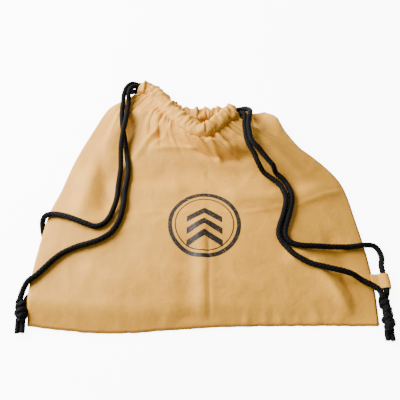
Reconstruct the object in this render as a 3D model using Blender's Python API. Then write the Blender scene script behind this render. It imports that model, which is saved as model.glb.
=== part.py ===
"""A drawstring bag for a motorcycle helmet, lying flat with its mouth half drawn together.

X runs across the bag, Y from the bottom seam to the mouth, and Z up from the floor.
The bag is two cloth panels sewn along the bottom and the sides. Each panel ends in a
casing, and two cords run through both casings, one leaving at each side of the mouth.
"""

import math
from collections import namedtuple

import bmesh
import bpy
from mathutils import Vector
from mathutils.bvhtree import BVHTree

# Sizes in metres
BAG_WIDTH = 0.420
PANEL_HEIGHT = 0.380
MOUTH_RISE = 0.045
CLOTH = 0.0012
CLEARANCE = 0.0003

CORD_DIAMETER = 0.007
CORD_STEP = 0.018
CORD_BEND = math.radians(14)
CORD_REST = 0.0008
CORD_ARCH = 5.0
LAYING_STEP = 0.002

CASING_WIDTH = 0.0206
CASING_DEPTH = 0.0128
CASING_TILT = math.radians(10)
RUFFLE_SWELL = 0.45

DOME_RISE = 0.013
GATHER_RISE = 0.005
LOBE_REACH = 0.058
LOBE_DROP = 0.012
LOBE_WAY = math.radians(58)
FLOOR_RUN = 0.16
SHELF_RUN = 0.058

TAB_LENGTH = 0.019
TAB_REACH = 0.020
TAB_ROOM = 0.0008
LEFT_TAB_FROM_BOTTOM = 0.066
RIGHT_TAB_FROM_BOTTOM = 0.054

KNOT_WIDTH = 0.0155
KNOT_SIDES = 12

PANEL_ROWS = 19
CASING_SIDES = 10
RINGS_PER_RUFFLE = 3

CLOTH_COLOUR = (0.80, 0.58, 0.32, 1.0)
CORD_COLOUR = (0.012, 0.012, 0.012, 1.0)

CORD_RADIUS = CORD_DIAMETER / 2
SEAM_HEIGHT = CLOTH + CLEARANCE / 2
LANE = CORD_RADIUS + CLEARANCE
TAB_BORE = CORD_RADIUS + TAB_ROOM
TAB_HEIGHT = 2 * (TAB_BORE + CLOTH)
TUCK_RISE = TAB_HEIGHT + 2 * CLEARANCE

# A point of a seam or a mouth edge: its share of the way along that line, then its place
# across as a share of BAG_WIDTH, along as a share of PANEL_HEIGHT, and up as a share of
# MOUTH_RISE.
Station = namedtuple("Station", "share across along up")

BOTTOM_SEAM = [
    Station(0.00, -0.493, 0.000, 0.0),
    Station(0.12, -0.374, -0.016, 0.0),
    Station(0.24, -0.252, -0.024, 0.0),
    Station(0.40, -0.090, -0.014, 0.0),
    Station(0.54, 0.048, -0.004, 0.0),
    Station(0.75, 0.262, 0.000, 0.0),
    Station(1.00, 0.512, 0.000, 0.0),
]
LEFT_SEAM = [
    Station(0.00, -0.493, 0.000, 0.00),
    Station(0.12, -0.500, 0.126, 0.00),
    Station(0.25, -0.495, 0.263, 0.02),
    Station(0.38, -0.483, 0.403, 0.05),
    Station(0.50, -0.464, 0.526, 0.08),
    Station(0.62, -0.438, 0.650, 0.10),
    Station(0.75, -0.395, 0.776, 0.17),
    Station(0.87, -0.345, 0.896, 0.27),
    Station(0.93, -0.300, 0.935, 0.32),
]
RIGHT_SEAM = [
    Station(0.00, 0.512, 0.000, 0.00),
    Station(0.12, 0.521, 0.121, 0.00),
    Station(0.25, 0.519, 0.250, 0.00),
    Station(0.38, 0.507, 0.382, 0.01),
    Station(0.48, 0.494, 0.490, 0.04),
    Station(0.54, 0.476, 0.545, 0.09),
    Station(0.62, 0.433, 0.603, 0.20),
    Station(0.75, 0.348, 0.674, 0.42),
    Station(0.87, 0.255, 0.716, 0.63),
    Station(0.93, 0.202, 0.745, 0.72),
]
FRONT_MOUTH = [
    Station(0.00, -0.230, 0.975, 0.60),
    Station(0.13, -0.186, 0.958, 0.64),
    Station(0.26, -0.150, 0.900, 0.69),
    Station(0.42, -0.100, 0.816, 0.82),
    Station(0.54, -0.062, 0.764, 0.90),
    Station(0.64, -0.028, 0.721, 0.96),
    Station(0.72, 0.012, 0.703, 0.98),
    Station(0.80, 0.048, 0.724, 0.98),
    Station(0.90, 0.090, 0.772, 0.95),
    Station(1.00, 0.128, 0.805, 0.86),
]
BACK_MOUTH = [
    Station(0.00, -0.212, 1.022, 0.22),
    Station(0.16, -0.168, 0.978, 0.25),
    Station(0.36, -0.112, 0.897, 0.30),
    Station(0.50, -0.070, 0.858, 0.36),
    Station(0.63, -0.022, 0.845, 0.40),
    Station(0.76, 0.030, 0.845, 0.40),
    Station(0.88, 0.084, 0.853, 0.39),
    Station(1.00, 0.138, 0.868, 0.40),
]

# One puff of gathered cloth on a casing: where it starts and ends along the mouth's edge,
# and how far it swells as a share of RUFFLE_SWELL.
Ruffle = namedtuple("Ruffle", "start end swell")

FRONT_RUFFLES = [
    Ruffle(0.00, 0.13, 0.8),
    Ruffle(0.13, 0.31, 0.3),
    Ruffle(0.31, 0.39, 0.6),
    Ruffle(0.39, 0.52, 0.4),
    Ruffle(0.52, 0.61, 1.0),
    Ruffle(0.61, 0.70, 0.7),
    Ruffle(0.70, 0.79, 1.0),
    Ruffle(0.79, 0.89, 0.6),
    Ruffle(0.89, 1.00, 0.9),
]
BACK_RUFFLES = [
    Ruffle(0.00, 0.08, 0.3),
    Ruffle(0.08, 0.16, 0.4),
    Ruffle(0.16, 0.34, 0.3),
    Ruffle(0.34, 0.48, 0.5),
    Ruffle(0.48, 0.59, 0.8),
    Ruffle(0.59, 0.70, 0.6),
    Ruffle(0.70, 0.80, 0.9),
    Ruffle(0.80, 0.90, 0.6),
    Ruffle(0.90, 1.00, 0.7),
]

# A ridge (height above 0) or a valley (below 0) of the front panel, between two places
# given as shares of the panel's width and height. Its breadth is a share of BAG_WIDTH and
# its height a share of MOUTH_RISE.
Fold = namedtuple("Fold", "name from_across from_along to_across to_along breadth height")

FRONT_FOLDS = [
    Fold("left valley", 0.19, 0.45, 0.22, 0.85, 0.045, -0.10),
    Fold("left pillow", 0.09, 0.40, 0.11, 0.80, 0.045, 0.07),
    Fold("pull ridge", 0.16, 0.83, 0.33, 0.97, 0.030, 0.10),
    Fold("valley under the mouth", 0.36, 0.83, 0.80, 0.80, 0.045, -0.14),
    Fold("overhang at the mouth", 0.34, 0.92, 0.72, 0.93, 0.035, 0.09),
    Fold("packing crease, left", 0.20, 0.49, 0.42, 0.52, 0.035, 0.07),
    Fold("packing crease, right", 0.64, 0.52, 0.98, 0.50, 0.035, 0.09),
    Fold("centre crease", 0.50, 0.02, 0.51, 0.36, 0.032, 0.08),
    Fold("right pillow", 0.80, 0.62, 0.90, 0.80, 0.050, 0.06),
    Fold("corner ridge", 0.78, 0.24, 0.92, 0.07, 0.040, 0.10),
    Fold("corner valley", 0.90, 0.30, 0.97, 0.10, 0.035, -0.06),
]

# The free strands of the cords. Each point is its place across and along, in metres, and
# the height of the cord's middle. RESTS lies on whatever cloth or floor is below it.
RESTS = None
HIDDEN = CORD_RADIUS
IN_TAB = TAB_HEIGHT / 2

LEFT_CORD_TURN = [
    (0.0610, 0.3165, 0.0375),
    (0.0655, 0.3205, 0.0310),
    (0.0670, 0.3245, 0.0240),
]
RIGHT_CORD_TURN = [
    (-0.1080, 0.3685, 0.0240),
    (-0.1140, 0.3770, 0.0180),
    (-0.1145, 0.3880, 0.0130),
    (-0.1085, 0.3985, 0.0100),
    (-0.0980, 0.4000, 0.0100),
]
LEFT_OUTER_ROUTE = [
    (-0.1035, 0.3735, 0.0320),
    (-0.1095, 0.3670, 0.0350),
    (-0.1125, 0.3570, 0.0335),
    (-0.1130, 0.3450, RESTS),
    (-0.1120, 0.3180, RESTS),
    (-0.1130, 0.2950, RESTS),
    (-0.1145, 0.2810, RESTS),
    (-0.1155, 0.2660, RESTS),
    (-0.1160, 0.2510, RESTS),
    (-0.1150, 0.2325, RESTS),
    (-0.1145, 0.2110, RESTS),
    (-0.1145, 0.1855, RESTS),
    (-0.1140, 0.1680, RESTS),
    (-0.1150, 0.1550, RESTS),
    (-0.1190, 0.1380, RESTS),
    (-0.1260, 0.1270, RESTS),
    (-0.1365, 0.1225, RESTS),
    (-0.1500, 0.1265, RESTS),
    (-0.1610, 0.1310, RESTS),
    (-0.1725, 0.1360, RESTS),
    (-0.1870, 0.1410, RESTS),
    (-0.1980, 0.1435, RESTS),
    (-0.2060, 0.1425, 0.0205),
    (-0.2115, 0.1375, 0.0150),
    (-0.2120, 0.1290, 0.0085),
    (-0.2095, 0.1190, 0.0045),
    (-0.2045, 0.1080, HIDDEN),
    (-0.1985, 0.0960, 0.0045),
    (-0.1960, 0.0840, IN_TAB),
    (-0.1960, 0.0780, IN_TAB),
    (-0.1960, 0.0660, IN_TAB),
    (-0.1960, 0.0540, IN_TAB),
    (-0.1985, 0.0465, 0.0045),
    (-0.2055, 0.0400, 0.0040),
    (-0.2120, 0.0360, 0.0042),
]
LEFT_INNER_ROUTE = [
    (-0.0980, 0.3890, 0.0160),
    (-0.1040, 0.3880, 0.0230),
    (-0.1110, 0.3830, 0.0285),
    (-0.1170, 0.3710, 0.0320),
    (-0.1205, 0.3570, 0.0305),
    (-0.1215, 0.3430, RESTS),
    (-0.1205, 0.3190, RESTS),
    (-0.1180, 0.2960, RESTS),
    (-0.1145, 0.2820, RESTS),
    (-0.1115, 0.2655, RESTS),
    (-0.1070, 0.2420, RESTS),
    (-0.1030, 0.2200, RESTS),
    (-0.1025, 0.1980, RESTS),
    (-0.1040, 0.1775, RESTS),
    (-0.1035, 0.1575, RESTS),
    (-0.1050, 0.1375, RESTS),
    (-0.1110, 0.1200, RESTS),
    (-0.1180, 0.1110, RESTS),
    (-0.1310, 0.1030, RESTS),
    (-0.1435, 0.0985, RESTS),
    (-0.1560, 0.0955, RESTS),
    (-0.1730, 0.0875, RESTS),
    (-0.1835, 0.0795, RESTS),
    (-0.1905, 0.0720, RESTS),
    (-0.1970, 0.0640, RESTS),
    (-0.2040, 0.0565, RESTS),
    (-0.2110, 0.0510, 0.0185),
    (-0.2160, 0.0450, 0.0145),
    (-0.2190, 0.0385, 0.0110),
]
RIGHT_OUTER_ROUTE = [
    (0.0720, 0.3310, 0.0255),
    (0.0760, 0.3200, 0.0345),
    (0.0750, 0.3055, 0.0450),
    (0.0720, 0.2905, 0.0520),
    (0.0700, 0.2785, RESTS),
    (0.0700, 0.2650, RESTS),
    (0.0720, 0.2480, RESTS),
    (0.0775, 0.2400, RESTS),
    (0.0855, 0.2315, RESTS),
    (0.0935, 0.2215, RESTS),
    (0.1025, 0.2120, RESTS),
    (0.1120, 0.2035, RESTS),
    (0.1195, 0.1950, RESTS),
    (0.1235, 0.1855, RESTS),
    (0.1260, 0.1690, RESTS),
    (0.1240, 0.1575, RESTS),
    (0.1185, 0.1400, RESTS),
    (0.1120, 0.1215, RESTS),
    (0.1105, 0.1110, RESTS),
    (0.1145, 0.1030, RESTS),
    (0.1235, 0.0980, RESTS),
    (0.1350, 0.0965, RESTS),
    (0.1550, 0.0970, RESTS),
    (0.1830, 0.0985, RESTS),
    (0.2035, 0.1010, RESTS),
    (0.2180, 0.1035, RESTS),
    (0.2300, 0.1030, RESTS),
    (0.2360, 0.0960, RESTS),
    (0.2375, 0.0865, RESTS),
    (0.2345, 0.0780, RESTS),
    (0.2335, 0.0720, IN_TAB),
    (0.2335, 0.0660, IN_TAB),
    (0.2335, 0.0540, IN_TAB),
    (0.2335, 0.0430, IN_TAB),
    (0.2320, 0.0375, 0.0050),
]
RIGHT_INNER_ROUTE = [
    (0.0610, 0.3065, 0.0420),
    (0.0655, 0.3030, 0.0445),
    (0.0665, 0.2950, 0.0460),
    (0.0650, 0.2820, RESTS),
    (0.0655, 0.2685, RESTS),
    (0.0665, 0.2575, RESTS),
    (0.0690, 0.2470, RESTS),
    (0.0725, 0.2395, RESTS),
    (0.0770, 0.2310, RESTS),
    (0.0810, 0.2210, RESTS),
    (0.0875, 0.2110, RESTS),
    (0.0980, 0.2015, RESTS),
    (0.1075, 0.1935, RESTS),
    (0.1135, 0.1845, RESTS),
    (0.1170, 0.1685, RESTS),
    (0.1160, 0.1575, RESTS),
    (0.1105, 0.1395, RESTS),
    (0.1035, 0.1210, RESTS),
    (0.1020, 0.1120, RESTS),
    (0.1050, 0.1030, RESTS),
    (0.1105, 0.0950, RESTS),
    (0.1160, 0.0870, RESTS),
    (0.1255, 0.0790, RESTS),
    (0.1400, 0.0715, RESTS),
    (0.1640, 0.0650, RESTS),
    (0.1800, 0.0625, RESTS),
    (0.1930, 0.0595, RESTS),
    (0.2065, 0.0525, RESTS),
    (0.2180, 0.0450, RESTS),
    (0.2235, 0.0390, 0.0100),
]

# A ring of a knot and its tails: its share of the length, then its half breadth, its half
# depth and its middle's height, all three as shares of KNOT_WIDTH.
KnotRing = namedtuple("KnotRing", "share breadth depth height")

ROUND_KNOT = [
    KnotRing(0.00, 0.40, 0.36, 0.46),
    KnotRing(0.08, 0.46, 0.44, 0.46),
    KnotRing(0.22, 0.50, 0.46, 0.46),
    KnotRing(0.38, 0.50, 0.46, 0.46),
    KnotRing(0.52, 0.42, 0.36, 0.40),
    KnotRing(0.62, 0.34, 0.24, 0.28),
    KnotRing(0.80, 0.35, 0.23, 0.24),
    KnotRing(1.00, 0.31, 0.22, 0.23),
]
LONG_KNOT = [
    KnotRing(0.00, 0.38, 0.36, 0.46),
    KnotRing(0.08, 0.40, 0.42, 0.46),
    KnotRing(0.22, 0.41, 0.44, 0.46),
    KnotRing(0.38, 0.34, 0.34, 0.42),
    KnotRing(0.52, 0.44, 0.44, 0.46),
    KnotRing(0.66, 0.42, 0.40, 0.42),
    KnotRing(0.76, 0.31, 0.24, 0.28),
    KnotRing(0.88, 0.29, 0.22, 0.24),
    KnotRing(1.00, 0.27, 0.21, 0.22),
]

# A knot: where it starts and the way that it points, in metres across and along, its
# length with its tails, its rings, and the slant of the two strands where they enter it.
Knot = namedtuple("Knot", "across along way_across way_along length rings slant")

LEFT_KNOT = Knot(-0.2175, 0.0270, 0.07, -1.0, 0.037, ROUND_KNOT, math.radians(135))
RIGHT_KNOT = Knot(0.2265, 0.0300, -0.04, -1.0, 0.049, LONG_KNOT, math.radians(135))


def clear_scene():
    for old in list(bpy.data.objects):
        bpy.data.objects.remove(old, do_unlink=True)


def make_material(name, colour, roughness):
    material = bpy.data.materials.new(name)
    material.use_nodes = True
    shader = material.node_tree.nodes["Principled BSDF"]
    shader.inputs["Base Color"].default_value = colour
    shader.inputs["Roughness"].default_value = roughness
    shader.inputs["Metallic"].default_value = 0.0
    return material


def smooth_step(value):
    value = min(max(value, 0.0), 1.0)
    return value * value * (3 - 2 * value)


def bump(value, start, end):
    """Rise from 0 at start to 1 halfway and fall to 0 again at end."""
    if not start < value < end:
        return 0.0
    return math.sin(math.pi * (value - start) / (end - start)) ** 2


def smooth_through(shares, places, share):
    """Return the place at a share on the smooth curve through the given places."""
    last = len(shares) - 1
    index = next((i for i in range(last) if share <= shares[i + 1]), last - 1)
    span = shares[index + 1] - shares[index]

    def slope(i):
        before, after = max(i - 1, 0), min(i + 1, last)
        return (places[after] - places[before]) / (shares[after] - shares[before])

    u = (share - shares[index]) / span
    rise_in, rise_out = slope(index) * span, slope(index + 1) * span
    return (
        places[index] * (2 * u**3 - 3 * u**2 + 1)
        + rise_in * (u**3 - 2 * u**2 + u)
        + places[index + 1] * (3 * u**2 - 2 * u**3)
        + rise_out * (u**3 - u**2)
    )


def station_place(station):
    return Vector(
        (
            station.across * BAG_WIDTH,
            station.along * PANEL_HEIGHT,
            SEAM_HEIGHT + station.up * MOUTH_RISE,
        )
    )


def table_curve(stations, end=None):
    """Return a function from a share to a place on the smooth curve through a table."""
    shares = [station.share for station in stations]
    places = [station_place(station) for station in stations]
    if end is not None:
        shares.append(1.0)
        places.append(end)
    return lambda share: smooth_through(shares, places, share)


def mouth_frame(curve, share):
    """Return the way along a mouth's edge, the way to its free side, and the way up."""
    step = 0.01
    way = (curve(min(share + step, 1.0)) - curve(max(share - step, 0.0))).normalized()
    free = Vector((-way.y, way.x, 0.0)).normalized()
    up = way.cross(free).normalized()
    tilted = free * math.cos(CASING_TILT) + up * math.sin(CASING_TILT)
    return way, tilted, way.cross(tilted).normalized()


def mouth_edge(curve, side):
    """Return the line where a panel meets its casing, with side up or down by the gap."""
    reach = CASING_WIDTH / 2 + CLEARANCE

    def place(share):
        _, free, _ = mouth_frame(curve, share)
        return curve(share) - free * reach + Vector((0, 0, side * CLEARANCE / 2))

    return place


def patch_point(s, t, bottom, top, left, right):
    """Return the point of the surface spanned by four edge curves."""
    edges = bottom(s) * (1 - t) + top(s) * t + left(t) * (1 - s) + right(t) * s
    corners = (
        left(0.0) * ((1 - s) * (1 - t))
        + right(0.0) * (s * (1 - t))
        + left(1.0) * ((1 - s) * t)
        + right(1.0) * (s * t)
    )
    return edges - corners


def tuck(t):
    """Return how far the left edge stands up over the tab and cord tucked under it."""
    return TUCK_RISE * smooth_step(t / 0.08) * smooth_step((0.50 - t) / 0.16)


def fold_height(s, t):
    height = 0.0
    for fold in FRONT_FOLDS:
        start = Vector((fold.from_across * BAG_WIDTH, fold.from_along * PANEL_HEIGHT))
        end = Vector((fold.to_across * BAG_WIDTH, fold.to_along * PANEL_HEIGHT))
        here = Vector((s * BAG_WIDTH, t * PANEL_HEIGHT))
        run = end - start
        share = min(max((here - start).dot(run) / run.length_squared, 0.0), 1.0)
        aside = (here - start - run * share).length / (fold.breadth * BAG_WIDTH)
        height += fold.height * MOUTH_RISE * math.exp(-aside * aside)
    return height


def ruffle_swell(ruffles, share):
    return sum(ruffle.swell * bump(share, ruffle.start, ruffle.end) for ruffle in ruffles)


def edge_fade(s, t):
    """Return 0 on a panel's edges and 1 well inside it."""
    return (
        smooth_step(s / 0.12)
        * smooth_step((1 - s) / 0.12)
        * smooth_step(t / 0.10)
        * smooth_step((1 - t) / 0.06)
    )


def panel_curves(stations, side):
    """Return a panel's four edges, on its side (1 up, -1 down) of the middle of the seams."""
    top = mouth_edge(table_curve(stations), side)
    left_line = table_curve(LEFT_SEAM, top(0.0))
    right_line = table_curve(RIGHT_SEAM, top(1.0))
    bottom_line = table_curve(BOTTOM_SEAM)
    gap = Vector((0, 0, side * CLEARANCE / 2))
    turned_out = Vector((0, 0, min(side, 0) * CLOTH))

    def left(t):
        return left_line(t) + Vector((0, 0, tuck(t))) + gap * seam_hold(t)

    def right(t):
        room = gap + turned_out * smooth_step((t - 0.55) / 0.15)
        return right_line(t) + room * seam_hold(t)

    def bottom(s):
        return bottom_line(s) + gap

    return bottom, top, left, right


def seam_hold(t):
    """Return 1 along a side seam and 0 where it has opened out to the mouth's edge."""
    return smooth_step((1 - t) / (1 - LEFT_SEAM[-1].share))


def front_point(s, t):
    """Return a point of the front panel's inner face."""
    point = patch_point(s, t, *panel_curves(FRONT_MOUTH, 1))
    dome = math.sin(math.pi * s) ** 0.8 * math.sin(math.pi * min(t / 0.92, 1.0)) ** 0.8
    gather = ruffle_swell(FRONT_RUFFLES, s) * bump(t, 0.74, 1.04)
    point.z += DOME_RISE * dome
    point.z += (fold_height(s, t) + GATHER_RISE * gather) * edge_fade(s, t)
    return point


def back_point(s, t):
    """Return a point of the back panel's inner face."""
    bottom, top, left, right = panel_curves(BACK_MOUTH, -1)
    point = patch_point(s, t, bottom, top, left, right)
    low = CLOTH
    from_left = smooth_step((FLOOR_RUN - s) / (FLOOR_RUN - SHELF_RUN))
    from_right = ((1 + math.cos(math.pi * min((1 - s) / FLOOR_RUN, 1.0))) / 2) ** 1.6
    from_mouth = smooth_step((t - 0.84) / 0.16) if t > 0.84 else 0.0
    edge_rise = (left(t).z - low) * from_left + (right(t).z - low) * from_right
    mouth_rise = top(s).z - low
    point.z = low + edge_rise * (1 - from_mouth) + mouth_rise * from_mouth
    lobe_run = FLOOR_RUN * (1 - 0.6 * smooth_step((t - 0.80) / 0.15))
    swing = math.sin(math.pi * min((1 - s) / lobe_run, 1.0))
    push = swing * bump(t, 0.60, 1.26) * smooth_step((0.973 - t) / 0.033)
    point.x += math.cos(LOBE_WAY) * LOBE_REACH * push
    point.y += math.sin(LOBE_WAY) * LOBE_REACH * push
    point.z -= LOBE_DROP * from_mouth * math.sqrt(push)
    return point


def link(name, mesh, material):
    piece = bpy.data.objects.new(name, mesh)
    piece.data.materials.append(material)
    bpy.context.scene.collection.objects.link(piece)
    return piece


def add_wall(piece, thickness, offset):
    wall = piece.modifiers.new("wall", "SOLIDIFY")
    wall.thickness = thickness
    wall.offset = offset
    wall.use_even_offset = False


def make_panel(name, surface, columns, rows, material, offset):
    """Make a cloth panel from a grid laid on a surface of two shares."""
    shape = bmesh.new()
    bmesh.ops.create_grid(
        shape, x_segments=len(columns) - 1, y_segments=len(rows) - 1, size=0.5
    )
    shape.verts.ensure_lookup_table()
    for vert in shape.verts:
        column = round((vert.co.x + 0.5) * (len(columns) - 1))
        row = round((vert.co.y + 0.5) * (len(rows) - 1))
        vert.co = surface(columns[column], rows[row])
    mesh = bpy.data.meshes.new(name)
    shape.to_mesh(mesh)
    shape.free()
    mesh.shade_smooth()
    piece = link(name, mesh, material)
    add_wall(piece, CLOTH, offset)
    return piece


def even_shares(count):
    return [index / count for index in range(count + 1)]


def panel_rows():
    """Return shares up a panel, with one more row just below the mouth."""
    shares = even_shares(PANEL_ROWS)
    return shares[:-1] + [(shares[-2] + 1) / 2, 1.0]


def ruffle_shares(ruffles):
    """Return the shares along the mouth where both a panel and its casing have points."""
    shares = []
    for ruffle in ruffles:
        for ring in range(RINGS_PER_RUFFLE):
            shares.append(ruffle.start + (ruffle.end - ruffle.start) * ring / RINGS_PER_RUFFLE)
    return shares + [1.0]


def bridge_rings(shape, rings):
    """Add closed rings of places and bridge each one to the next."""
    loops = []
    for ring in rings:
        made = bmesh.ops.create_circle(shape, segments=len(ring), radius=1.0)
        for vert, place in zip(made["verts"], ring):
            vert.co = place
        edges = [edge for vert in made["verts"] for edge in vert.link_edges]
        loops.append(list(dict.fromkeys(edges)))
    for near, far in zip(loops, loops[1:]):
        bmesh.ops.bridge_loops(shape, edges=near + far)
    bmesh.ops.recalc_face_normals(shape, faces=shape.faces)


def casing_section(swell):
    """Return the casing's outline as places towards its free side and up."""
    places = []
    roundness = 2 / 2.6
    for index in range(CASING_SIDES):
        angle = 2 * math.pi * index / CASING_SIDES
        across = math.copysign(abs(math.cos(angle)) ** roundness, math.cos(angle))
        upward = math.copysign(abs(math.sin(angle)) ** roundness, math.sin(angle))
        loose = RUFFLE_SWELL * swell * smooth_step((across + 0.8) / 1.4)
        places.append(
            (
                across * CASING_WIDTH / 2 * (1 + loose),
                upward * CASING_DEPTH / 2 * (1 + 0.6 * loose),
            )
        )
    return places


def make_casing(name, stations, ruffles, material):
    """Make a gathered tunnel of cloth along one edge of the mouth."""
    curve = table_curve(stations)
    rings = []
    for share in ruffle_shares(ruffles):
        _, free, up = mouth_frame(curve, share)
        section = casing_section(ruffle_swell(ruffles, share))
        rings.append([curve(share) + free * across + up * upward for across, upward in section])
    shape = bmesh.new()
    bridge_rings(shape, rings)
    mesh = bpy.data.meshes.new(name)
    shape.to_mesh(mesh)
    shape.free()
    mesh.shade_smooth()
    piece = link(name, mesh, material)
    add_wall(piece, CLOTH, -1)
    return piece


def run_lengths(points):
    """Return each point's distance from the first, from point to point."""
    lengths = [0.0]
    for near, far in zip(points, points[1:]):
        lengths.append(lengths[-1] + (far - near).length)
    return lengths


def spread_evenly(points, step):
    """Return points a step apart on the smooth curve through the given points."""
    lengths = run_lengths(points)
    count = max(round(lengths[-1] / step), 2)
    return [
        smooth_through(lengths, points, lengths[-1] * index / count) for index in range(count + 1)
    ]


def thin_out(dense):
    """Keep points CORD_STEP apart on straight runs, and closer together in bends."""
    kept = [dense[0]]
    way = dense[1] - dense[0]
    for near, point, beyond in zip(dense, dense[1:], dense[2:]):
        run = (point - kept[-1]).length
        bent = run >= CORD_RADIUS and way.angle(point - near) > CORD_BEND
        if run >= CORD_STEP or bent:
            kept.append(point)
            way = beyond - point
    if (dense[-1] - kept[-1]).length < CORD_RADIUS:
        kept.pop()
    return kept + [dense[-1]]


def make_tube(name, points, material):
    """Make a round cord through points that are already close together."""
    curve = bpy.data.curves.new(name, "CURVE")
    curve.dimensions = "3D"
    curve.bevel_depth = CORD_RADIUS
    curve.bevel_resolution = 2
    curve.use_fill_caps = True
    spline = curve.splines.new("POLY")
    spline.points.add(len(points) - 1)
    for knot, point in zip(spline.points, points):
        knot.co = (*point, 1.0)
    return link(name, curve, material)


def lane_points(stations, ruffles, lane):
    """Return points along a casing, in the lane beside its middle."""
    curve = table_curve(stations)
    points = []
    for share in ruffle_shares(ruffles):
        _, free, _ = mouth_frame(curve, share)
        points.append(curve(share) + free * lane)
    return thin_out(spread_evenly(points, LAYING_STEP))


def casing_exit(stations, share, lane):
    """Return where a lane leaves its casing and the way that it points there."""
    curve = table_curve(stations)
    way, free, _ = mouth_frame(curve, share)
    outward = way if share == 1.0 else -way
    return curve(share) + free * lane, outward


def make_drawcord(name, front_lane, back_lane, turn_share, turn, material):
    """Make the held stretch of a cord: through one casing, round the turn, and back."""
    front = lane_points(FRONT_MOUTH, FRONT_RUFFLES, front_lane)
    back = lane_points(BACK_MOUTH, BACK_RUFFLES, back_lane)
    if turn_share == 0.0:
        front.reverse()
        back.reverse()
    front_end, front_way = casing_exit(FRONT_MOUTH, turn_share, front_lane)
    back_end, back_way = casing_exit(BACK_MOUTH, turn_share, back_lane)
    near = [front_end, front_end + front_way * CORD_RADIUS]
    far = [back_end + back_way * CORD_RADIUS, back_end]
    bend = spread_evenly(near + [Vector(place) for place in turn] + far, LAYING_STEP)
    return make_tube(name, front + thin_out(bend)[1:-1] + list(reversed(back)), material)


def tree_of(piece):
    solid = piece.evaluated_get(bpy.context.evaluated_depsgraph_get())
    mesh = solid.to_mesh()
    faces = [tuple(face.vertices) for face in mesh.polygons]
    tree = BVHTree.FromPolygons([vert.co for vert in mesh.vertices], faces)
    solid.to_mesh_clear()
    return tree


def bed_height(trees, x, y):
    """Return the height of the highest cloth within a cord's radius of a place."""
    highest = 0.0
    for turn in range(9):
        angle = math.pi / 4 * turn
        reach = CORD_RADIUS if turn < 8 else 0.0
        place = Vector((x + reach * math.cos(angle), y + reach * math.sin(angle), 1.0))
        for tree in trees:
            hit = tree.ray_cast(place, Vector((0, 0, -1)))[0]
            if hit is not None:
                highest = max(highest, hit.z)
    return highest


def lay_route(route, trees):
    """Return a route's points, with the resting ones set down on what is below."""
    laid = []
    for x, y, height in route:
        if height is RESTS:
            bed = bed_height(trees, x, y)
            height = bed + CORD_RADIUS + (CORD_REST if bed > 0 else 0.0)
        laid.append(Vector((x, y, height)))
    return laid


def settle(dense, first, last, trees):
    """Set a stretch of a cord down on what is below it, arching over what it crosses."""
    beds = [bed_height(trees, point.x, point.y) for point in dense]
    needs = [bed + CORD_RADIUS + (CORD_REST if bed > 0 else 0.0) for bed in beds]
    reach = round(math.sqrt(CORD_DIAMETER / CORD_ARCH) / LAYING_STEP)
    for index in range(first, last + 1):
        nearby = range(max(index - reach, first), min(index + reach, last) + 1)
        height = max(
            needs[other] - CORD_ARCH * ((other - index) * LAYING_STEP) ** 2 for other in nearby
        )
        ease = smooth_step(min(index - first, last - index) * LAYING_STEP / CORD_DIAMETER)
        dense[index].z += (height - dense[index].z) * ease


def make_strand(name, casing_end, route, knot, knot_side, trees, material):
    """Make a free strand from its casing's end, along its route, to its knot."""
    exit_place, exit_way = casing_end
    start = exit_place + exit_way * CLEARANCE * 3
    knot_place, knot_way = knot_entry(knot, knot_side)
    finish = knot_place - knot_way * CLEARANCE
    points = [start, start + exit_way * CORD_RADIUS]
    points += lay_route(route, trees)
    points += [finish - knot_way * CORD_RADIUS, finish]
    dense = spread_evenly(points, LAYING_STEP)
    lengths = run_lengths(points)
    resting = [index + 2 for index, row in enumerate(route) if row[2] is RESTS]
    first = math.ceil(lengths[resting[0]] / lengths[-1] * (len(dense) - 1))
    last = math.floor(lengths[resting[-1]] / lengths[-1] * (len(dense) - 1))
    settle(dense, first, last, trees)
    skip = round(CORD_DIAMETER / LAYING_STEP)
    run = points[:2] + thin_out(dense[skip:-skip]) + points[-2:]
    return make_tube(name, run, material)


def knot_axes(knot):
    forward = Vector((knot.way_across, knot.way_along, 0.0)).normalized()
    return forward, Vector((-forward.y, forward.x, 0.0))


def knot_entry(knot, knot_side):
    """Return where a strand meets its knot, and the way that it enters."""
    forward, side = knot_axes(knot)
    height = knot.rings[0].height * KNOT_WIDTH
    slanted = side * math.cos(knot.slant) + Vector((0, 0, math.sin(knot.slant)))
    return Vector((knot.across, knot.along, height)) + slanted * (knot_side * LANE), forward


def make_knot(name, knot, material):
    """Make a knot's lump with its two tails, from rings along a straight line."""
    forward, side = knot_axes(knot)
    outlines = []
    for ring in knot.rings:
        centre = Vector((knot.across, knot.along, ring.height * KNOT_WIDTH))
        centre += forward * (ring.share * knot.length)
        outline = []
        for index in range(KNOT_SIDES):
            angle = 2 * math.pi * index / KNOT_SIDES
            across = side * (ring.breadth * KNOT_WIDTH * math.cos(angle))
            upward = Vector((0, 0, ring.depth * KNOT_WIDTH * math.sin(angle)))
            outline.append(centre + across + upward)
        outlines.append(outline)
    shape = bmesh.new()
    bridge_rings(shape, outlines)
    bmesh.ops.holes_fill(shape, edges=shape.edges, sides=KNOT_SIDES)
    bmesh.ops.recalc_face_normals(shape, faces=shape.faces)
    mesh = bpy.data.meshes.new(name)
    shape.to_mesh(mesh)
    shape.free()
    mesh.shade_smooth()
    return link(name, mesh, material)


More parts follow.
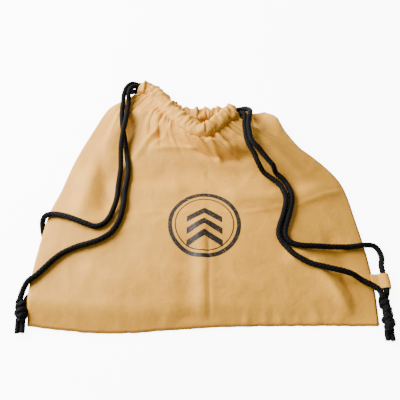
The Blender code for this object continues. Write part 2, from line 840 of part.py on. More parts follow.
def tab_profile():
    """Return a folded ribbon's inner line: out from the seam, round the cord, and back."""
    turn = TAB_REACH - CLOTH - TAB_BORE
    lower = [(0.0, -CLEARANCE / 2), (turn * 0.35, -CLEARANCE / 2), (turn * 0.65, -TAB_BORE * 0.7)]
    upper = [(reach, -height) for reach, height in reversed(lower)]
    arc = []
    for index in range(7):
        angle = -math.pi * 0.6 + math.pi * 1.2 * index / 6
        arc.append((turn + TAB_BORE * math.cos(angle), TAB_BORE * math.sin(angle)))
    return lower + arc + upper


def make_tab(name, stations, from_bottom, gap, material):
    """Make a small loop of ribbon beside a seam, folded round its cord."""
    seam = table_curve(stations)(from_bottom / PANEL_HEIGHT).x + gap
    first = from_bottom - TAB_LENGTH / 2
    profile = tab_profile()
    shape = bmesh.new()
    bmesh.ops.create_grid(shape, x_segments=len(profile) - 1, y_segments=2, size=0.5)
    for vert in shape.verts:
        reach, height = profile[round((vert.co.x + 0.5) * (len(profile) - 1))]
        along = first + (vert.co.y + 0.5) * TAB_LENGTH
        vert.co = Vector((seam + reach, along, TAB_HEIGHT / 2 + height))
    mesh = bpy.data.meshes.new(name)
    shape.to_mesh(mesh)
    shape.free()
    mesh.shade_smooth()
    piece = link(name, mesh, material)
    add_wall(piece, CLOTH, -1)
    return piece


def centre_on_floor(pieces, loose):
    """Put the middle of the pieces' floor plan, loose cords apart, on the origin."""
    depsgraph = bpy.context.evaluated_depsgraph_get()
    places = []
    for piece in pieces:
        if piece not in loose:
            solid = piece.evaluated_get(depsgraph)
            places += [vert.co.copy() for vert in solid.to_mesh().vertices]
            solid.to_mesh_clear()
    lows = [min(place[axis] for place in places) for axis in range(2)]
    highs = [max(place[axis] for place in places) for axis in range(2)]
    stand = bpy.data.objects.new("stand", None)
    bpy.context.scene.collection.objects.link(stand)
    stand.location = (-(lows[0] + highs[0]) / 2, -(lows[1] + highs[1]) / 2, 0.0)
    for piece in pieces:
        piece.parent = stand
    bpy.context.view_layer.update()


def build():
    clear_scene()
    cloth = make_material("bag cloth", CLOTH_COLOUR, 0.55)
    casing_cloth = make_material("casing cloth", CLOTH_COLOUR, 0.6)
    ribbon = make_material("tab ribbon", CLOTH_COLOUR, 0.6)
    cord = make_material("black cord", CORD_COLOUR, 0.8)

    front = make_panel(
        "front_panel", front_point, ruffle_shares(FRONT_RUFFLES), panel_rows(), cloth, 1
    )
    back = make_panel(
        "back_panel", back_point, ruffle_shares(BACK_RUFFLES), panel_rows(), cloth, -1
    )
    front_casing = make_casing("front_casing", FRONT_MOUTH, FRONT_RUFFLES, casing_cloth)
    back_casing = make_casing("back_casing", BACK_MOUTH, BACK_RUFFLES, casing_cloth)

    left_tab = make_tab("left_tab", LEFT_SEAM, LEFT_TAB_FROM_BOTTOM, 0.0, ribbon)
    right_tab = make_tab(
        "right_tab", RIGHT_SEAM, RIGHT_TAB_FROM_BOTTOM, CLEARANCE, ribbon
    )

    bpy.context.view_layer.update()
    lying = (front, back, front_casing, back_casing, left_tab, right_tab)
    trees = [tree_of(piece) for piece in lying]

    left_drawcord = make_drawcord(
        "left_drawcord", LANE, -LANE, 1.0, LEFT_CORD_TURN, cord
    )
    right_drawcord = make_drawcord(
        "right_drawcord", -LANE, LANE, 0.0, RIGHT_CORD_TURN, cord
    )

    strands = []
    for name, stations, share, lane, route, knot, knot_side in (
        ("left_cord_inner", BACK_MOUTH, 0.0, -LANE, LEFT_INNER_ROUTE, LEFT_KNOT, 1),
        ("left_cord_outer", FRONT_MOUTH, 0.0, LANE, LEFT_OUTER_ROUTE, LEFT_KNOT, -1),
        ("right_cord_inner", FRONT_MOUTH, 1.0, -LANE, RIGHT_INNER_ROUTE, RIGHT_KNOT, 1),
        ("right_cord_outer", BACK_MOUTH, 1.0, LANE, RIGHT_OUTER_ROUTE, RIGHT_KNOT, -1),
    ):
        casing_end = casing_exit(stations, share, lane)
        strand = make_strand(name, casing_end, route, knot, knot_side, trees, cord)
        strands.append(strand)
        bpy.context.view_layer.update()
        trees.append(tree_of(strand))

    knots = [
        make_knot("left_knot", LEFT_KNOT, cord),
        make_knot("right_knot", RIGHT_KNOT, cord),
    ]
    held = [front, back, front_casing, back_casing, left_tab, right_tab]
    held += [left_drawcord, right_drawcord]
    centre_on_floor(held + strands + knots, strands + knots)


build()
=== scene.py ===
"""Looks of a tan nylon drawstring helmet bag that lies flat on a pale floor.

The cloth, the gathered mouth, the braided cords, the knots and the stitching are made here
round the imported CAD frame. X runs across the bag, Y from the bottom seam to the mouth, Z up.
"""

import math
import random
from collections import namedtuple

import bmesh
import bpy
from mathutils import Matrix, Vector, noise
from mathutils.bvhtree import BVHTree


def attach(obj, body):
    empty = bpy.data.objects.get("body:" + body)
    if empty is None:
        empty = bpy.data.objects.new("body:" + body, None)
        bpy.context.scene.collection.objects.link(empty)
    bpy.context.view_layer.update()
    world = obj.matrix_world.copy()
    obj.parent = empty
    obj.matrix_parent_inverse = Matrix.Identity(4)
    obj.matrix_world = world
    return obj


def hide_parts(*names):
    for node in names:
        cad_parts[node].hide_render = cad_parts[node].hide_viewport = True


bl_info = {
    "name": "Drawstring helmet bag",
    "version": (1, 0, 0),
    "blender": (4, 5, 0),
    "location": "View3D > Sidebar > Helmet bag",
    "description": "Dresses the packed bag frame with cloth, cords, knots and stitching",
    "category": "Object",
}

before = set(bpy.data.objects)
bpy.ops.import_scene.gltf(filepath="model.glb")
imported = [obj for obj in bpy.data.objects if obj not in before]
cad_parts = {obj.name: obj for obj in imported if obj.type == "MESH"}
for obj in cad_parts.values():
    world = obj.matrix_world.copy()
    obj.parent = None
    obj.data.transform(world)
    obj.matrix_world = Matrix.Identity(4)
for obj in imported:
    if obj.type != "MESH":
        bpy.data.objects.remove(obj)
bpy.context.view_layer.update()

# The bag's own sizes in metres, as its source states them
BAG_WIDTH = 0.420
PANEL_HEIGHT = 0.380
MOUTH_RISE = 0.045
CLOTH = 0.0012
CLEARANCE = 0.0003
CORD_DIAMETER = 0.007
CORD_RADIUS = CORD_DIAMETER / 2
CORD_ARCH = 5.0
LAYING_STEP = 0.002
CASING_WIDTH = 0.0206
CASING_DEPTH = 0.0128
CASING_TILT = math.radians(10)
RUFFLE_SWELL = 0.45
DOME_RISE = 0.013
GATHER_RISE = 0.005
LOBE_REACH = 0.058
LOBE_DROP = 0.012
LOBE_WAY = math.radians(58)
FLOOR_RUN = 0.16
SHELF_RUN = 0.058
TAB_LENGTH = 0.019
TAB_REACH = 0.020
TAB_ROOM = 0.0008
LEFT_TAB_FROM_BOTTOM = 0.066
RIGHT_TAB_FROM_BOTTOM = 0.054
KNOT_WIDTH = 0.0155
SEAM_HEIGHT = CLOTH + CLEARANCE / 2
LANE = CORD_RADIUS + CLEARANCE
TAB_BORE = CORD_RADIUS + TAB_ROOM
TAB_HEIGHT = 2 * (TAB_BORE + CLOTH)
TUCK_RISE = TAB_HEIGHT + 2 * CLEARANCE

# From the bottom seam's middle to the middle of the bag's floor plan
STAND = Vector((-0.0146854, -0.1971551, 0.0))

# The photograph's camera: its height and its distance in front of the bottom seam
CAMERA_HEIGHT = 0.5236
CAMERA_BACK = 0.1483
CAMERA_PITCH = math.radians(58)
CAMERA_LENS = 38.97
CAMERA_SENSOR = 36.0

# The soft light's place and side, and how far the floor lies below the bag
KEY_PLACE = (-1.28, 0.62, 0.92)
KEY_SIDE = 1.3
FLOOR_DROP = 0.0002

# The finer cloth of the dressed bag
PANEL_ROWS = 130
PANEL_STEPS_PER_RUFFLE = 16
CASING_SIDES = 30
CASING_STEPS_PER_RUFFLE = 14
CORD_SIDES = 18
CORD_RING_STEP = 0.0014

Station = namedtuple("Station", "share across along up")

BOTTOM_SEAM = [
    Station(0.00, -0.493, 0.000, 0.0),
    Station(0.12, -0.374, -0.016, 0.0),
    Station(0.24, -0.252, -0.024, 0.0),
    Station(0.40, -0.090, -0.014, 0.0),
    Station(0.54, 0.048, -0.004, 0.0),
    Station(0.75, 0.262, 0.000, 0.0),
    Station(1.00, 0.512, 0.000, 0.0),
]
LEFT_SEAM = [
    Station(0.00, -0.493, 0.000, 0.00),
    Station(0.12, -0.500, 0.126, 0.00),
    Station(0.25, -0.495, 0.263, 0.02),
    Station(0.38, -0.483, 0.403, 0.05),
    Station(0.50, -0.464, 0.526, 0.08),
    Station(0.62, -0.438, 0.650, 0.10),
    Station(0.75, -0.395, 0.776, 0.17),
    Station(0.87, -0.345, 0.896, 0.27),
    Station(0.93, -0.300, 0.935, 0.32),
]
RIGHT_SEAM = [
    Station(0.00, 0.512, 0.000, 0.00),
    Station(0.12, 0.521, 0.121, 0.00),
    Station(0.25, 0.519, 0.250, 0.00),
    Station(0.38, 0.507, 0.382, 0.01),
    Station(0.48, 0.494, 0.490, 0.04),
    Station(0.54, 0.476, 0.545, 0.09),
    Station(0.62, 0.433, 0.603, 0.20),
    Station(0.75, 0.348, 0.674, 0.42),
    Station(0.87, 0.255, 0.716, 0.63),
    Station(0.93, 0.202, 0.745, 0.72),
]
FRONT_MOUTH = [
    Station(0.00, -0.230, 0.975, 0.60),
    Station(0.13, -0.186, 0.958, 0.64),
    Station(0.26, -0.150, 0.900, 0.69),
    Station(0.42, -0.100, 0.816, 0.82),
    Station(0.54, -0.062, 0.764, 0.90),
    Station(0.64, -0.028, 0.721, 0.96),
    Station(0.72, 0.012, 0.703, 0.98),
    Station(0.80, 0.048, 0.724, 0.98),
    Station(0.90, 0.090, 0.772, 0.95),
    Station(1.00, 0.128, 0.805, 0.86),
]
BACK_MOUTH = [
    Station(0.00, -0.212, 1.022, 0.22),
    Station(0.16, -0.168, 0.978, 0.25),
    Station(0.36, -0.112, 0.897, 0.30),
    Station(0.50, -0.070, 0.858, 0.36),
    Station(0.63, -0.022, 0.845, 0.40),
    Station(0.76, 0.030, 0.845, 0.40),
    Station(0.88, 0.084, 0.853, 0.39),
    Station(1.00, 0.138, 0.868, 0.40),
]

# One puff of gathered cloth on a casing: where it starts and ends along the mouth's edge,
# and how far it swells as a share of RUFFLE_SWELL.
Ruffle = namedtuple("Ruffle", "start end swell")

FRONT_RUFFLES = [
    Ruffle(0.00, 0.13, 0.8),
    Ruffle(0.13, 0.31, 0.3),
    Ruffle(0.31, 0.39, 0.6),
    Ruffle(0.39, 0.52, 0.4),
    Ruffle(0.52, 0.61, 1.0),
    Ruffle(0.61, 0.70, 0.7),
    Ruffle(0.70, 0.79, 1.0),
    Ruffle(0.79, 0.89, 0.6),
    Ruffle(0.89, 1.00, 0.9),
]
BACK_RUFFLES = [
    Ruffle(0.00, 0.08, 0.3),
    Ruffle(0.08, 0.16, 0.4),
    Ruffle(0.16, 0.34, 0.3),
    Ruffle(0.34, 0.48, 0.5),
    Ruffle(0.48, 0.59, 0.8),
    Ruffle(0.59, 0.70, 0.6),
    Ruffle(0.70, 0.80, 0.9),
    Ruffle(0.80, 0.90, 0.6),
    Ruffle(0.90, 1.00, 0.7),
]

# A ridge (height above 0) or a valley (below 0) of the front panel, between two places
# given as shares of the panel's width and height. Its breadth is a share of BAG_WIDTH and
# its height a share of MOUTH_RISE.
Fold = namedtuple("Fold", "name from_across from_along to_across to_along breadth height")

FRONT_FOLDS = [
    Fold("left valley", 0.19, 0.45, 0.22, 0.85, 0.045, -0.10),
    Fold("left pillow", 0.09, 0.40, 0.11, 0.80, 0.045, 0.07),
    Fold("pull ridge", 0.16, 0.83, 0.33, 0.97, 0.030, 0.10),
    Fold("valley under the mouth", 0.36, 0.83, 0.80, 0.80, 0.045, -0.14),
    Fold("overhang at the mouth", 0.34, 0.92, 0.72, 0.93, 0.035, 0.09),
    Fold("packing crease, left", 0.20, 0.49, 0.42, 0.52, 0.035, 0.07),
    Fold("packing crease, right", 0.64, 0.52, 0.98, 0.50, 0.035, 0.09),
    Fold("centre crease", 0.50, 0.02, 0.51, 0.36, 0.032, 0.08),
    Fold("right pillow", 0.80, 0.62, 0.90, 0.80, 0.050, 0.06),
    Fold("corner ridge", 0.78, 0.24, 0.92, 0.07, 0.040, 0.10),
    Fold("corner valley", 0.90, 0.30, 0.97, 0.10, 0.035, -0.06),
]

# The free strands of the cords. Each point is its place across and along, in metres, and
# the height of the cord's middle. RESTS lies on whatever cloth or floor is below it.
RESTS = None
HIDDEN = CORD_RADIUS
IN_TAB = TAB_HEIGHT / 2

LEFT_CORD_TURN = [
    (0.0610, 0.3165, 0.0375),
    (0.0655, 0.3205, 0.0310),
    (0.0670, 0.3245, 0.0240),
]
RIGHT_CORD_TURN = [
    (-0.1080, 0.3685, 0.0240),
    (-0.1140, 0.3770, 0.0180),
    (-0.1145, 0.3880, 0.0130),
    (-0.1085, 0.3985, 0.0100),
    (-0.0980, 0.4000, 0.0100),
]
LEFT_OUTER_ROUTE = [
    (-0.1035, 0.3735, 0.0320),
    (-0.1095, 0.3670, 0.0350),
    (-0.1125, 0.3570, 0.0335),
    (-0.1130, 0.3450, RESTS),
    (-0.1120, 0.3180, RESTS),
    (-0.1130, 0.2950, RESTS),
    (-0.1145, 0.2810, RESTS),
    (-0.1155, 0.2660, RESTS),
    (-0.1160, 0.2510, RESTS),
    (-0.1150, 0.2325, RESTS),
    (-0.1145, 0.2110, RESTS),
    (-0.1145, 0.1855, RESTS),
    (-0.1140, 0.1680, RESTS),
    (-0.1150, 0.1550, RESTS),
    (-0.1190, 0.1380, RESTS),
    (-0.1260, 0.1270, RESTS),
    (-0.1365, 0.1225, RESTS),
    (-0.1500, 0.1265, RESTS),
    (-0.1610, 0.1310, RESTS),
    (-0.1725, 0.1360, RESTS),
    (-0.1870, 0.1410, RESTS),
    (-0.1980, 0.1435, RESTS),
    (-0.2060, 0.1425, 0.0205),
    (-0.2115, 0.1375, 0.0150),
    (-0.2120, 0.1290, 0.0085),
    (-0.2095, 0.1190, 0.0045),
    (-0.2045, 0.1080, HIDDEN),
    (-0.1985, 0.0960, 0.0045),
    (-0.1960, 0.0840, IN_TAB),
    (-0.1960, 0.0780, IN_TAB),
    (-0.1960, 0.0660, IN_TAB),
    (-0.1960, 0.0540, IN_TAB),
    (-0.1985, 0.0465, 0.0045),
    (-0.2055, 0.0400, 0.0040),
    (-0.2120, 0.0360, 0.0042),
]
LEFT_INNER_ROUTE = [
    (-0.0980, 0.3890, 0.0160),
    (-0.1040, 0.3880, 0.0230),
    (-0.1110, 0.3830, 0.0285),
    (-0.1170, 0.3710, 0.0320),
    (-0.1205, 0.3570, 0.0305),
    (-0.1215, 0.3430, RESTS),
    (-0.1205, 0.3190, RESTS),
    (-0.1180, 0.2960, RESTS),
    (-0.1145, 0.2820, RESTS),
    (-0.1115, 0.2655, RESTS),
    (-0.1070, 0.2420, RESTS),
    (-0.1030, 0.2200, RESTS),
    (-0.1025, 0.1980, RESTS),
    (-0.1040, 0.1775, RESTS),
    (-0.1035, 0.1575, RESTS),
    (-0.1050, 0.1375, RESTS),
    (-0.1110, 0.1200, RESTS),
    (-0.1180, 0.1110, RESTS),
    (-0.1310, 0.1030, RESTS),
    (-0.1435, 0.0985, RESTS),
    (-0.1560, 0.0955, RESTS),
    (-0.1730, 0.0875, RESTS),
    (-0.1835, 0.0795, RESTS),
    (-0.1905, 0.0720, RESTS),
    (-0.1970, 0.0640, RESTS),
    (-0.2040, 0.0565, RESTS),
    (-0.2110, 0.0510, 0.0185),
    (-0.2160, 0.0450, 0.0145),
    (-0.2190, 0.0385, 0.0110),
]
RIGHT_OUTER_ROUTE = [
    (0.0720, 0.3310, 0.0255),
    (0.0760, 0.3200, 0.0345),
    (0.0750, 0.3055, 0.0450),
    (0.0720, 0.2905, 0.0520),
    (0.0700, 0.2785, RESTS),
    (0.0700, 0.2650, RESTS),
    (0.0720, 0.2480, RESTS),
    (0.0775, 0.2400, RESTS),
    (0.0855, 0.2315, RESTS),
    (0.0935, 0.2215, RESTS),
    (0.1025, 0.2120, RESTS),
    (0.1120, 0.2035, RESTS),
    (0.1195, 0.1950, RESTS),
    (0.1235, 0.1855, RESTS),
    (0.1260, 0.1690, RESTS),
    (0.1240, 0.1575, RESTS),
    (0.1185, 0.1400, RESTS),
    (0.1120, 0.1215, RESTS),
    (0.1105, 0.1110, RESTS),
    (0.1145, 0.1030, RESTS),
    (0.1235, 0.0980, RESTS),
    (0.1350, 0.0965, RESTS),
    (0.1550, 0.0970, RESTS),
    (0.1830, 0.0985, RESTS),
    (0.2035, 0.1010, RESTS),
    (0.2180, 0.1035, RESTS),
    (0.2300, 0.1030, RESTS),
    (0.2360, 0.0960, RESTS),
    (0.2375, 0.0865, RESTS),
    (0.2345, 0.0780, RESTS),
    (0.2335, 0.0720, IN_TAB),
    (0.2335, 0.0660, IN_TAB),
    (0.2335, 0.0540, IN_TAB),
    (0.2335, 0.0430, IN_TAB),
    (0.2320, 0.0375, 0.0050),
]
RIGHT_INNER_ROUTE = [
    (0.0610, 0.3065, 0.0420),
    (0.0655, 0.3030, 0.0445),
    (0.0665, 0.2950, 0.0460),
    (0.0650, 0.2820, RESTS),
    (0.0655, 0.2685, RESTS),
    (0.0665, 0.2575, RESTS),
    (0.0690, 0.2470, RESTS),
    (0.0725, 0.2395, RESTS),
    (0.0770, 0.2310, RESTS),
    (0.0810, 0.2210, RESTS),
    (0.0875, 0.2110, RESTS),
    (0.0980, 0.2015, RESTS),
    (0.1075, 0.1935, RESTS),
    (0.1135, 0.1845, RESTS),
    (0.1170, 0.1685, RESTS),
    (0.1160, 0.1575, RESTS),
    (0.1105, 0.1395, RESTS),
    (0.1035, 0.1210, RESTS),
    (0.1020, 0.1120, RESTS),
    (0.1050, 0.1030, RESTS),
    (0.1105, 0.0950, RESTS),
    (0.1160, 0.0870, RESTS),
    (0.1255, 0.0790, RESTS),
    (0.1400, 0.0715, RESTS),
    (0.1640, 0.0650, RESTS),
    (0.1800, 0.0625, RESTS),
    (0.1930, 0.0595, RESTS),
    (0.2065, 0.0525, RESTS),
    (0.2180, 0.0450, RESTS),
    (0.2235, 0.0390, 0.0100),
]

# A knot: where it starts and the way that it points, in metres across and along, its
# length with its tails, and the slant of the two strands where they enter it.
Knot = namedtuple("Knot", "across along way_across way_along length slant")

LEFT_KNOT = Knot(-0.2175, 0.0270, 0.07, -1.0, 0.037, math.radians(135))
RIGHT_KNOT = Knot(0.2265, 0.0300, -0.04, -1.0, 0.049, math.radians(135))

# The height at which the strands enter a knot, as a share of KNOT_WIDTH
KNOT_ENTRY = 0.46

# The braid of the cords: strands round it, their pitch along it, and their relief
BRAID_STRANDS = 4
BRAID_PITCH = 0.0052
BRAID_RELIEF = 0.0005

# The gathers at the mouth: the lap of a panel into its casing, the breadth of the casing's
# puffs, the heights of its broad and small puffs, and of the panels' broad and fine waves
PANEL_LAP = 0.0024
PUFF_BREADTH = 0.0098
PUFF_HEIGHT = 0.0042
SMALL_PUFF_HEIGHT = 0.0014
BROAD_GATHER = 0.0020
FINE_GATHER = 0.0021

# The sewing: the edge's roll, its steps along each side, how far a tab is tucked into it, the
# stitches, and the hems' places as shares of the mouth
SEAM_ROLL = 0.0012
SEAM_STEPS = 90
TAB_TUCK = 0.0026
STITCH_PITCH = 0.0036
STITCH_RADIUS = 0.00032
HEM_SHARES = (0.018, 0.982)

# The knots: the sides of a strand, the radius of their tails, and the tails' loose threads
KNOT_SIDES = 16
TAIL_RADIUS = 0.0033
FRAY_COUNT = 22
FRAY_RADIUS = 0.00035

# The cloth's threads, and how much painted shade deepens its tone for each metre that it lies below
# the cloth around
THREAD_PITCH = 0.0009
HOLLOW_SHADE = 260.0

# The seed of the noise that bends the small wrinkles, which is the clock where none is set
NOISE_SEED = 1796044323
noise.seed_set(NOISE_SEED)

# The printed emblem: its middle, its rings' radii and breadths, and its chevrons
EMBLEM_ACROSS = 0.006
EMBLEM_ALONG = 0.128
EMBLEM_RINGS = [(0.0455, 0.0056), (0.0385, 0.0016)]
CHEVRON_HEIGHTS = [-0.014, 0.003, 0.020]
CHEVRON_BREADTH = 0.0092
CHEVRON_SPAN = 0.0235
INK_COLOUR = (0.018, 0.016, 0.015, 1.0)

# A crease or a soft fold of the cloth that only shows in its surface: its two ends on the
# plan in metres, its half breadth and its height in metres, and how sharp its middle is.
Crease = namedtuple("Crease", "name x0 y0 x1 y1 breadth height sharp")

FRONT_CREASES = [
    Crease("pull ridge at the left", -0.050, 0.312, -0.100, 0.236, 0.0075, 0.0046, 0.7),
    Crease("second pull ridge", -0.036, 0.297, -0.074, 0.252, 0.0060, 0.0020, 0.6),
    Crease("fold edge under the mouth", -0.068, 0.254, -0.004, 0.250, 0.0050, 0.0044, 0.8),
    Crease("valley under the mouth", -0.080, 0.216, 0.084, 0.208, 0.0250, -0.0072, 0.0),
    Crease("pull below the low point", 0.012, 0.256, 0.030, 0.228, 0.0040, 0.0052, 0.7),
    Crease("pull right of the low point", 0.024, 0.262, 0.046, 0.240, 0.0040, 0.0048, 0.7),
    Crease("pull near the right exit", 0.046, 0.268, 0.052, 0.232, 0.0055, 0.0016, 0.5),
    Crease("packing crease, right end", 0.200, 0.190, 0.134, 0.162, 0.0042, 0.0024, 0.8),
    Crease("packing crease, right", 0.133, 0.160, 0.060, 0.146, 0.0038, 0.0018, 0.9),
    Crease("packing crease, middle", 0.060, 0.146, -0.054, 0.147, 0.0038, 0.0012, 0.9),
    Crease("packing crease, left", -0.054, 0.147, -0.090, 0.143, 0.0038, 0.0016, 0.9),
    Crease("packing crease, left end", -0.090, 0.143, -0.175, 0.128, 0.0040, 0.0010, 0.8),
    Crease("second packing crease", 0.058, 0.156, 0.118, 0.160, 0.0034, 0.0008, 0.9),
    Crease("low crease at the right", 0.116, 0.120, 0.146, 0.105, 0.0050, 0.0014, 0.6),
    Crease("centre crease", 0.0104, 0.118, 0.0106, -0.006, 0.0044, -0.0022, 0.9),
    Crease("centre crease, upper part", 0.0104, 0.118, 0.0110, 0.226, 0.0040, -0.0005, 0.9),
    Crease("valley left of the centre", -0.012, 0.110, -0.010, 0.000, 0.0180, -0.0026, 0.1),
    Crease("left valley", -0.149, 0.262, -0.129, 0.140, 0.0110, -0.0026, 0.2),
    Crease("left pillow", -0.164, 0.225, -0.156, 0.130, 0.0170, 0.0034, 0.1),
    Crease("streak at the lower right", 0.146, 0.078, 0.182, 0.016, 0.0080, 0.0042, 0.5),
    Crease("hollow beside the streak", 0.180, 0.068, 0.204, 0.016, 0.0090, -0.0028, 0.3),
    Crease("fold from the right tab", 0.196, 0.062, 0.120, 0.088, 0.0070, 0.0014, 0.5),
    Crease("right shoulder fold", 0.092, 0.262, 0.150, 0.205, 0.0080, 0.0022, 0.4),
    Crease("right shoulder hollow", 0.080, 0.236, 0.136, 0.178, 0.0180, -0.0065, 0.1),
    Crease("long slack fold", -0.070, 0.070, 0.090, 0.046, 0.0120, 0.0016, 0.2),
    Crease("slack fold at the left", -0.150, 0.070, -0.070, 0.040, 0.0120, 0.0018, 0.2),
]

# One pucker of the bottom seam: where it stands along the seam, its breadth there, how far
# it runs up the cloth and how high it stands.
Pucker = namedtuple("Pucker", "across breadth run height")

BOTTOM_PUCKERS = [
    Pucker(-0.150, 0.006, 0.030, 0.0010),
    Pucker(-0.096, 0.008, 0.022, 0.0008),
    Pucker(-0.040, 0.006, 0.026, 0.0010),
    Pucker(0.024, 0.006, 0.020, 0.0009),
    Pucker(0.056, 0.005, 0.030, 0.0014),
    Pucker(0.078, 0.004, 0.022, 0.0012),
    Pucker(0.096, 0.005, 0.026, 0.0014),
    Pucker(0.118, 0.004, 0.020, 0.0012),
    Pucker(0.140, 0.006, 0.028, 0.0013),
    Pucker(0.166, 0.006, 0.024, 0.0010),
]


def smooth_step(value):
    value = min(max(value, 0.0), 1.0)
    return value * value * (3 - 2 * value)


def bump(value, start, end):
    """Rise from 0 at start to 1 halfway and fall to 0 again at end."""
    if not start < value < end:
        return 0.0
    return math.sin(math.pi * (value - start) / (end - start)) ** 2


def smooth_through(shares, places, share):
    """Return the place at a share on the smooth curve through the given places."""
    last = len(shares) - 1
    index = next((i for i in range(last) if share <= shares[i + 1]), last - 1)
    span = shares[index + 1] - shares[index]

    def slope(i):
        before, after = max(i - 1, 0), min(i + 1, last)
        return (places[after] - places[before]) / (shares[after] - shares[before])

    u = (share - shares[index]) / span
    rise_in, rise_out = slope(index) * span, slope(index + 1) * span
    return (
        places[index] * (2 * u**3 - 3 * u**2 + 1)
        + rise_in * (u**3 - 2 * u**2 + u)
        + places[index + 1] * (3 * u**2 - 2 * u**3)
        + rise_out * (u**3 - u**2)
    )


def station_place(station):
    return STAND + Vector(
        (
            station.across * BAG_WIDTH,
            station.along * PANEL_HEIGHT,
            SEAM_HEIGHT + station.up * MOUTH_RISE,
        )
    )


def table_curve(stations, end=None):
    """Return a function from a share to a place on the smooth curve through a table."""
    shares = [station.share for station in stations]
    places = [station_place(station) for station in stations]
    if end is not None:
        shares.append(1.0)
        places.append(end)
    return lambda share: smooth_through(shares, places, share)


def mouth_frame(curve, share):
    """Return the way along a mouth's edge, the way to its free side, and the way up."""
    step = 0.01
    way = (curve(min(share + step, 1.0)) - curve(max(share - step, 0.0))).normalized()
    free = Vector((-way.y, way.x, 0.0)).normalized()
    up = way.cross(free).normalized()
    tilted = free * math.cos(CASING_TILT) + up * math.sin(CASING_TILT)
    return way, tilted, way.cross(tilted).normalized()


def mouth_edge(curve, side):
    """Return the line where a panel meets its casing, with side up or down by the gap."""
    reach = CASING_WIDTH / 2 - PANEL_LAP

    def place(share):
        _, free, _ = mouth_frame(curve, share)
        return curve(share) - free * reach + Vector((0, 0, side * CLEARANCE / 2))

    return place


def tuck(t):
    """Return how far the left edge stands up over the tab and cord tucked under it."""
    return TUCK_RISE * smooth_step(t / 0.08) * smooth_step((0.50 - t) / 0.16)


def seam_hold(t):
    """Return 1 along a side seam and 0 where it has opened out to the mouth's edge."""
    return smooth_step((1 - t) / (1 - LEFT_SEAM[-1].share))


def seam_wander(s):
    """Return how far the sewn bottom edge strays from its line."""
    held = smooth_step(s * 20) * smooth_step((1 - s) * 20)
    return 0.0011 * noise.noise(Vector((s * 34.0, 3.1, 0.0))) * held


def panel_curves(stations, side):
    """Return a panel's four edges, on its side (1 up, -1 down) of the middle of the seams."""
    top = mouth_edge(table_curve(stations), side)
    left_line = table_curve(LEFT_SEAM, top(0.0))
    right_line = table_curve(RIGHT_SEAM, top(1.0))
    bottom_line = table_curve(BOTTOM_SEAM)
    gap = Vector((0, 0, side * CLEARANCE / 2))
    turned_out = Vector((0, 0, min(side, 0) * CLOTH))

    def left(t):
        return left_line(t) + Vector((0, 0, tuck(t))) + gap * seam_hold(t)

    def right(t):
        room = gap + turned_out * smooth_step((t - 0.55) / 0.15)
        return right_line(t) + room * seam_hold(t)

    def bottom(s):
        return bottom_line(s) + gap + Vector((0, seam_wander(s), 0))

    return bottom, top, left, right


def patch_grid(columns, rows, edges):
    """Return the places of the surface spanned by four edges, by column and row."""
    bottom, top, left, right = edges
    lows = [bottom(s) for s in columns]
    highs = [top(s) for s in columns]
    lefts = [left(t) for t in rows]
    rights = [right(t) for t in rows]
    places = {}
    for i, s in enumerate(columns):
        for j, t in enumerate(rows):
            edge_sum = lows[i] * (1 - t) + highs[i] * t + lefts[j] * (1 - s) + rights[j] * s
            corners = (
                lefts[0] * ((1 - s) * (1 - t))
                + rights[0] * (s * (1 - t))
                + lefts[-1] * ((1 - s) * t)
                + rights[-1] * (s * t)
            )
            places[i, j] = edge_sum - corners
    return places


def fold_height(s, t):
    height = 0.0
    for fold in FRONT_FOLDS:
        start = Vector((fold.from_across * BAG_WIDTH, fold.from_along * PANEL_HEIGHT))
        end = Vector((fold.to_across * BAG_WIDTH, fold.to_along * PANEL_HEIGHT))
        here = Vector((s * BAG_WIDTH, t * PANEL_HEIGHT))
        run = end - start
        share = min(max((here - start).dot(run) / run.length_squared, 0.0), 1.0)
        aside = (here - start - run * share).length / (fold.breadth * BAG_WIDTH)
        height += fold.height * MOUTH_RISE * math.exp(-aside * aside)
    return height


def crease_height(place):
    """Return how far the named creases lift the cloth at a place."""
    height = 0.0
    here = Vector((place.x - STAND.x, place.y - STAND.y))
    for crease in FRONT_CREASES:
        start = Vector((crease.x0, crease.y0))
        run = Vector((crease.x1, crease.y1)) - start
        share = (here - start).dot(run) / run.length_squared
        if not -0.4 < share < 1.4:
            continue
        held = min(max(share, 0.0), 1.0)
        aside = (here - start - run * held).length / crease.breadth
        if aside > 4:
            continue
        round_top = math.exp(-aside * aside)
        sharp_top = math.exp(-1.9 * aside)
        ends = smooth_step((share + 0.15) / 0.35) * smooth_step((1.15 - share) / 0.35)
        height += crease.height * ends * (
            round_top * (1 - crease.sharp) + sharp_top * crease.sharp
        )
    return height


def pucker_height(place, t):
    height = 0.0
    for pucker in BOTTOM_PUCKERS:
        aside = (place.x - STAND.x - pucker.across) / pucker.breadth
        rise = smooth_step(1 - t * PANEL_HEIGHT / pucker.run)
        height += pucker.height * math.exp(-aside * aside) * rise
    return height


def ruffle_swell(ruffles, share):
    return sum(ruffle.swell * bump(share, ruffle.start, ruffle.end) for ruffle in ruffles)


def gather_waves(share, count, seed):
    """Return an uneven wave along the mouth, from -1 to 1, as gathered cloth makes."""
    drift = 0.55 * noise.noise(Vector((share * 9.0, seed, 0.0)))
    size = 0.75 + 0.7 * noise.noise(Vector((share * 14.0, seed + 7.0, 0.0)))
    return size * (abs(math.sin(math.pi * (share * count + drift * 1.6))) ** 0.7 * 2 - 1.2)


def crumple(place, size, seed):
    """Return a soft random relief from about -1 to 1 with sharper ridges than hollows."""
    where = Vector((place.x / size, place.y / size, seed))
    bend = noise.noise_vector(where * 0.6) * 0.7
    value = noise.noise(where + bend)
    ridge = 1 - abs(noise.noise(where * 1.3 + bend + Vector((5.2, 1.3, 0.0)))) * 3.2
    return 0.6 * value + 0.4 * max(ridge, 0.0)


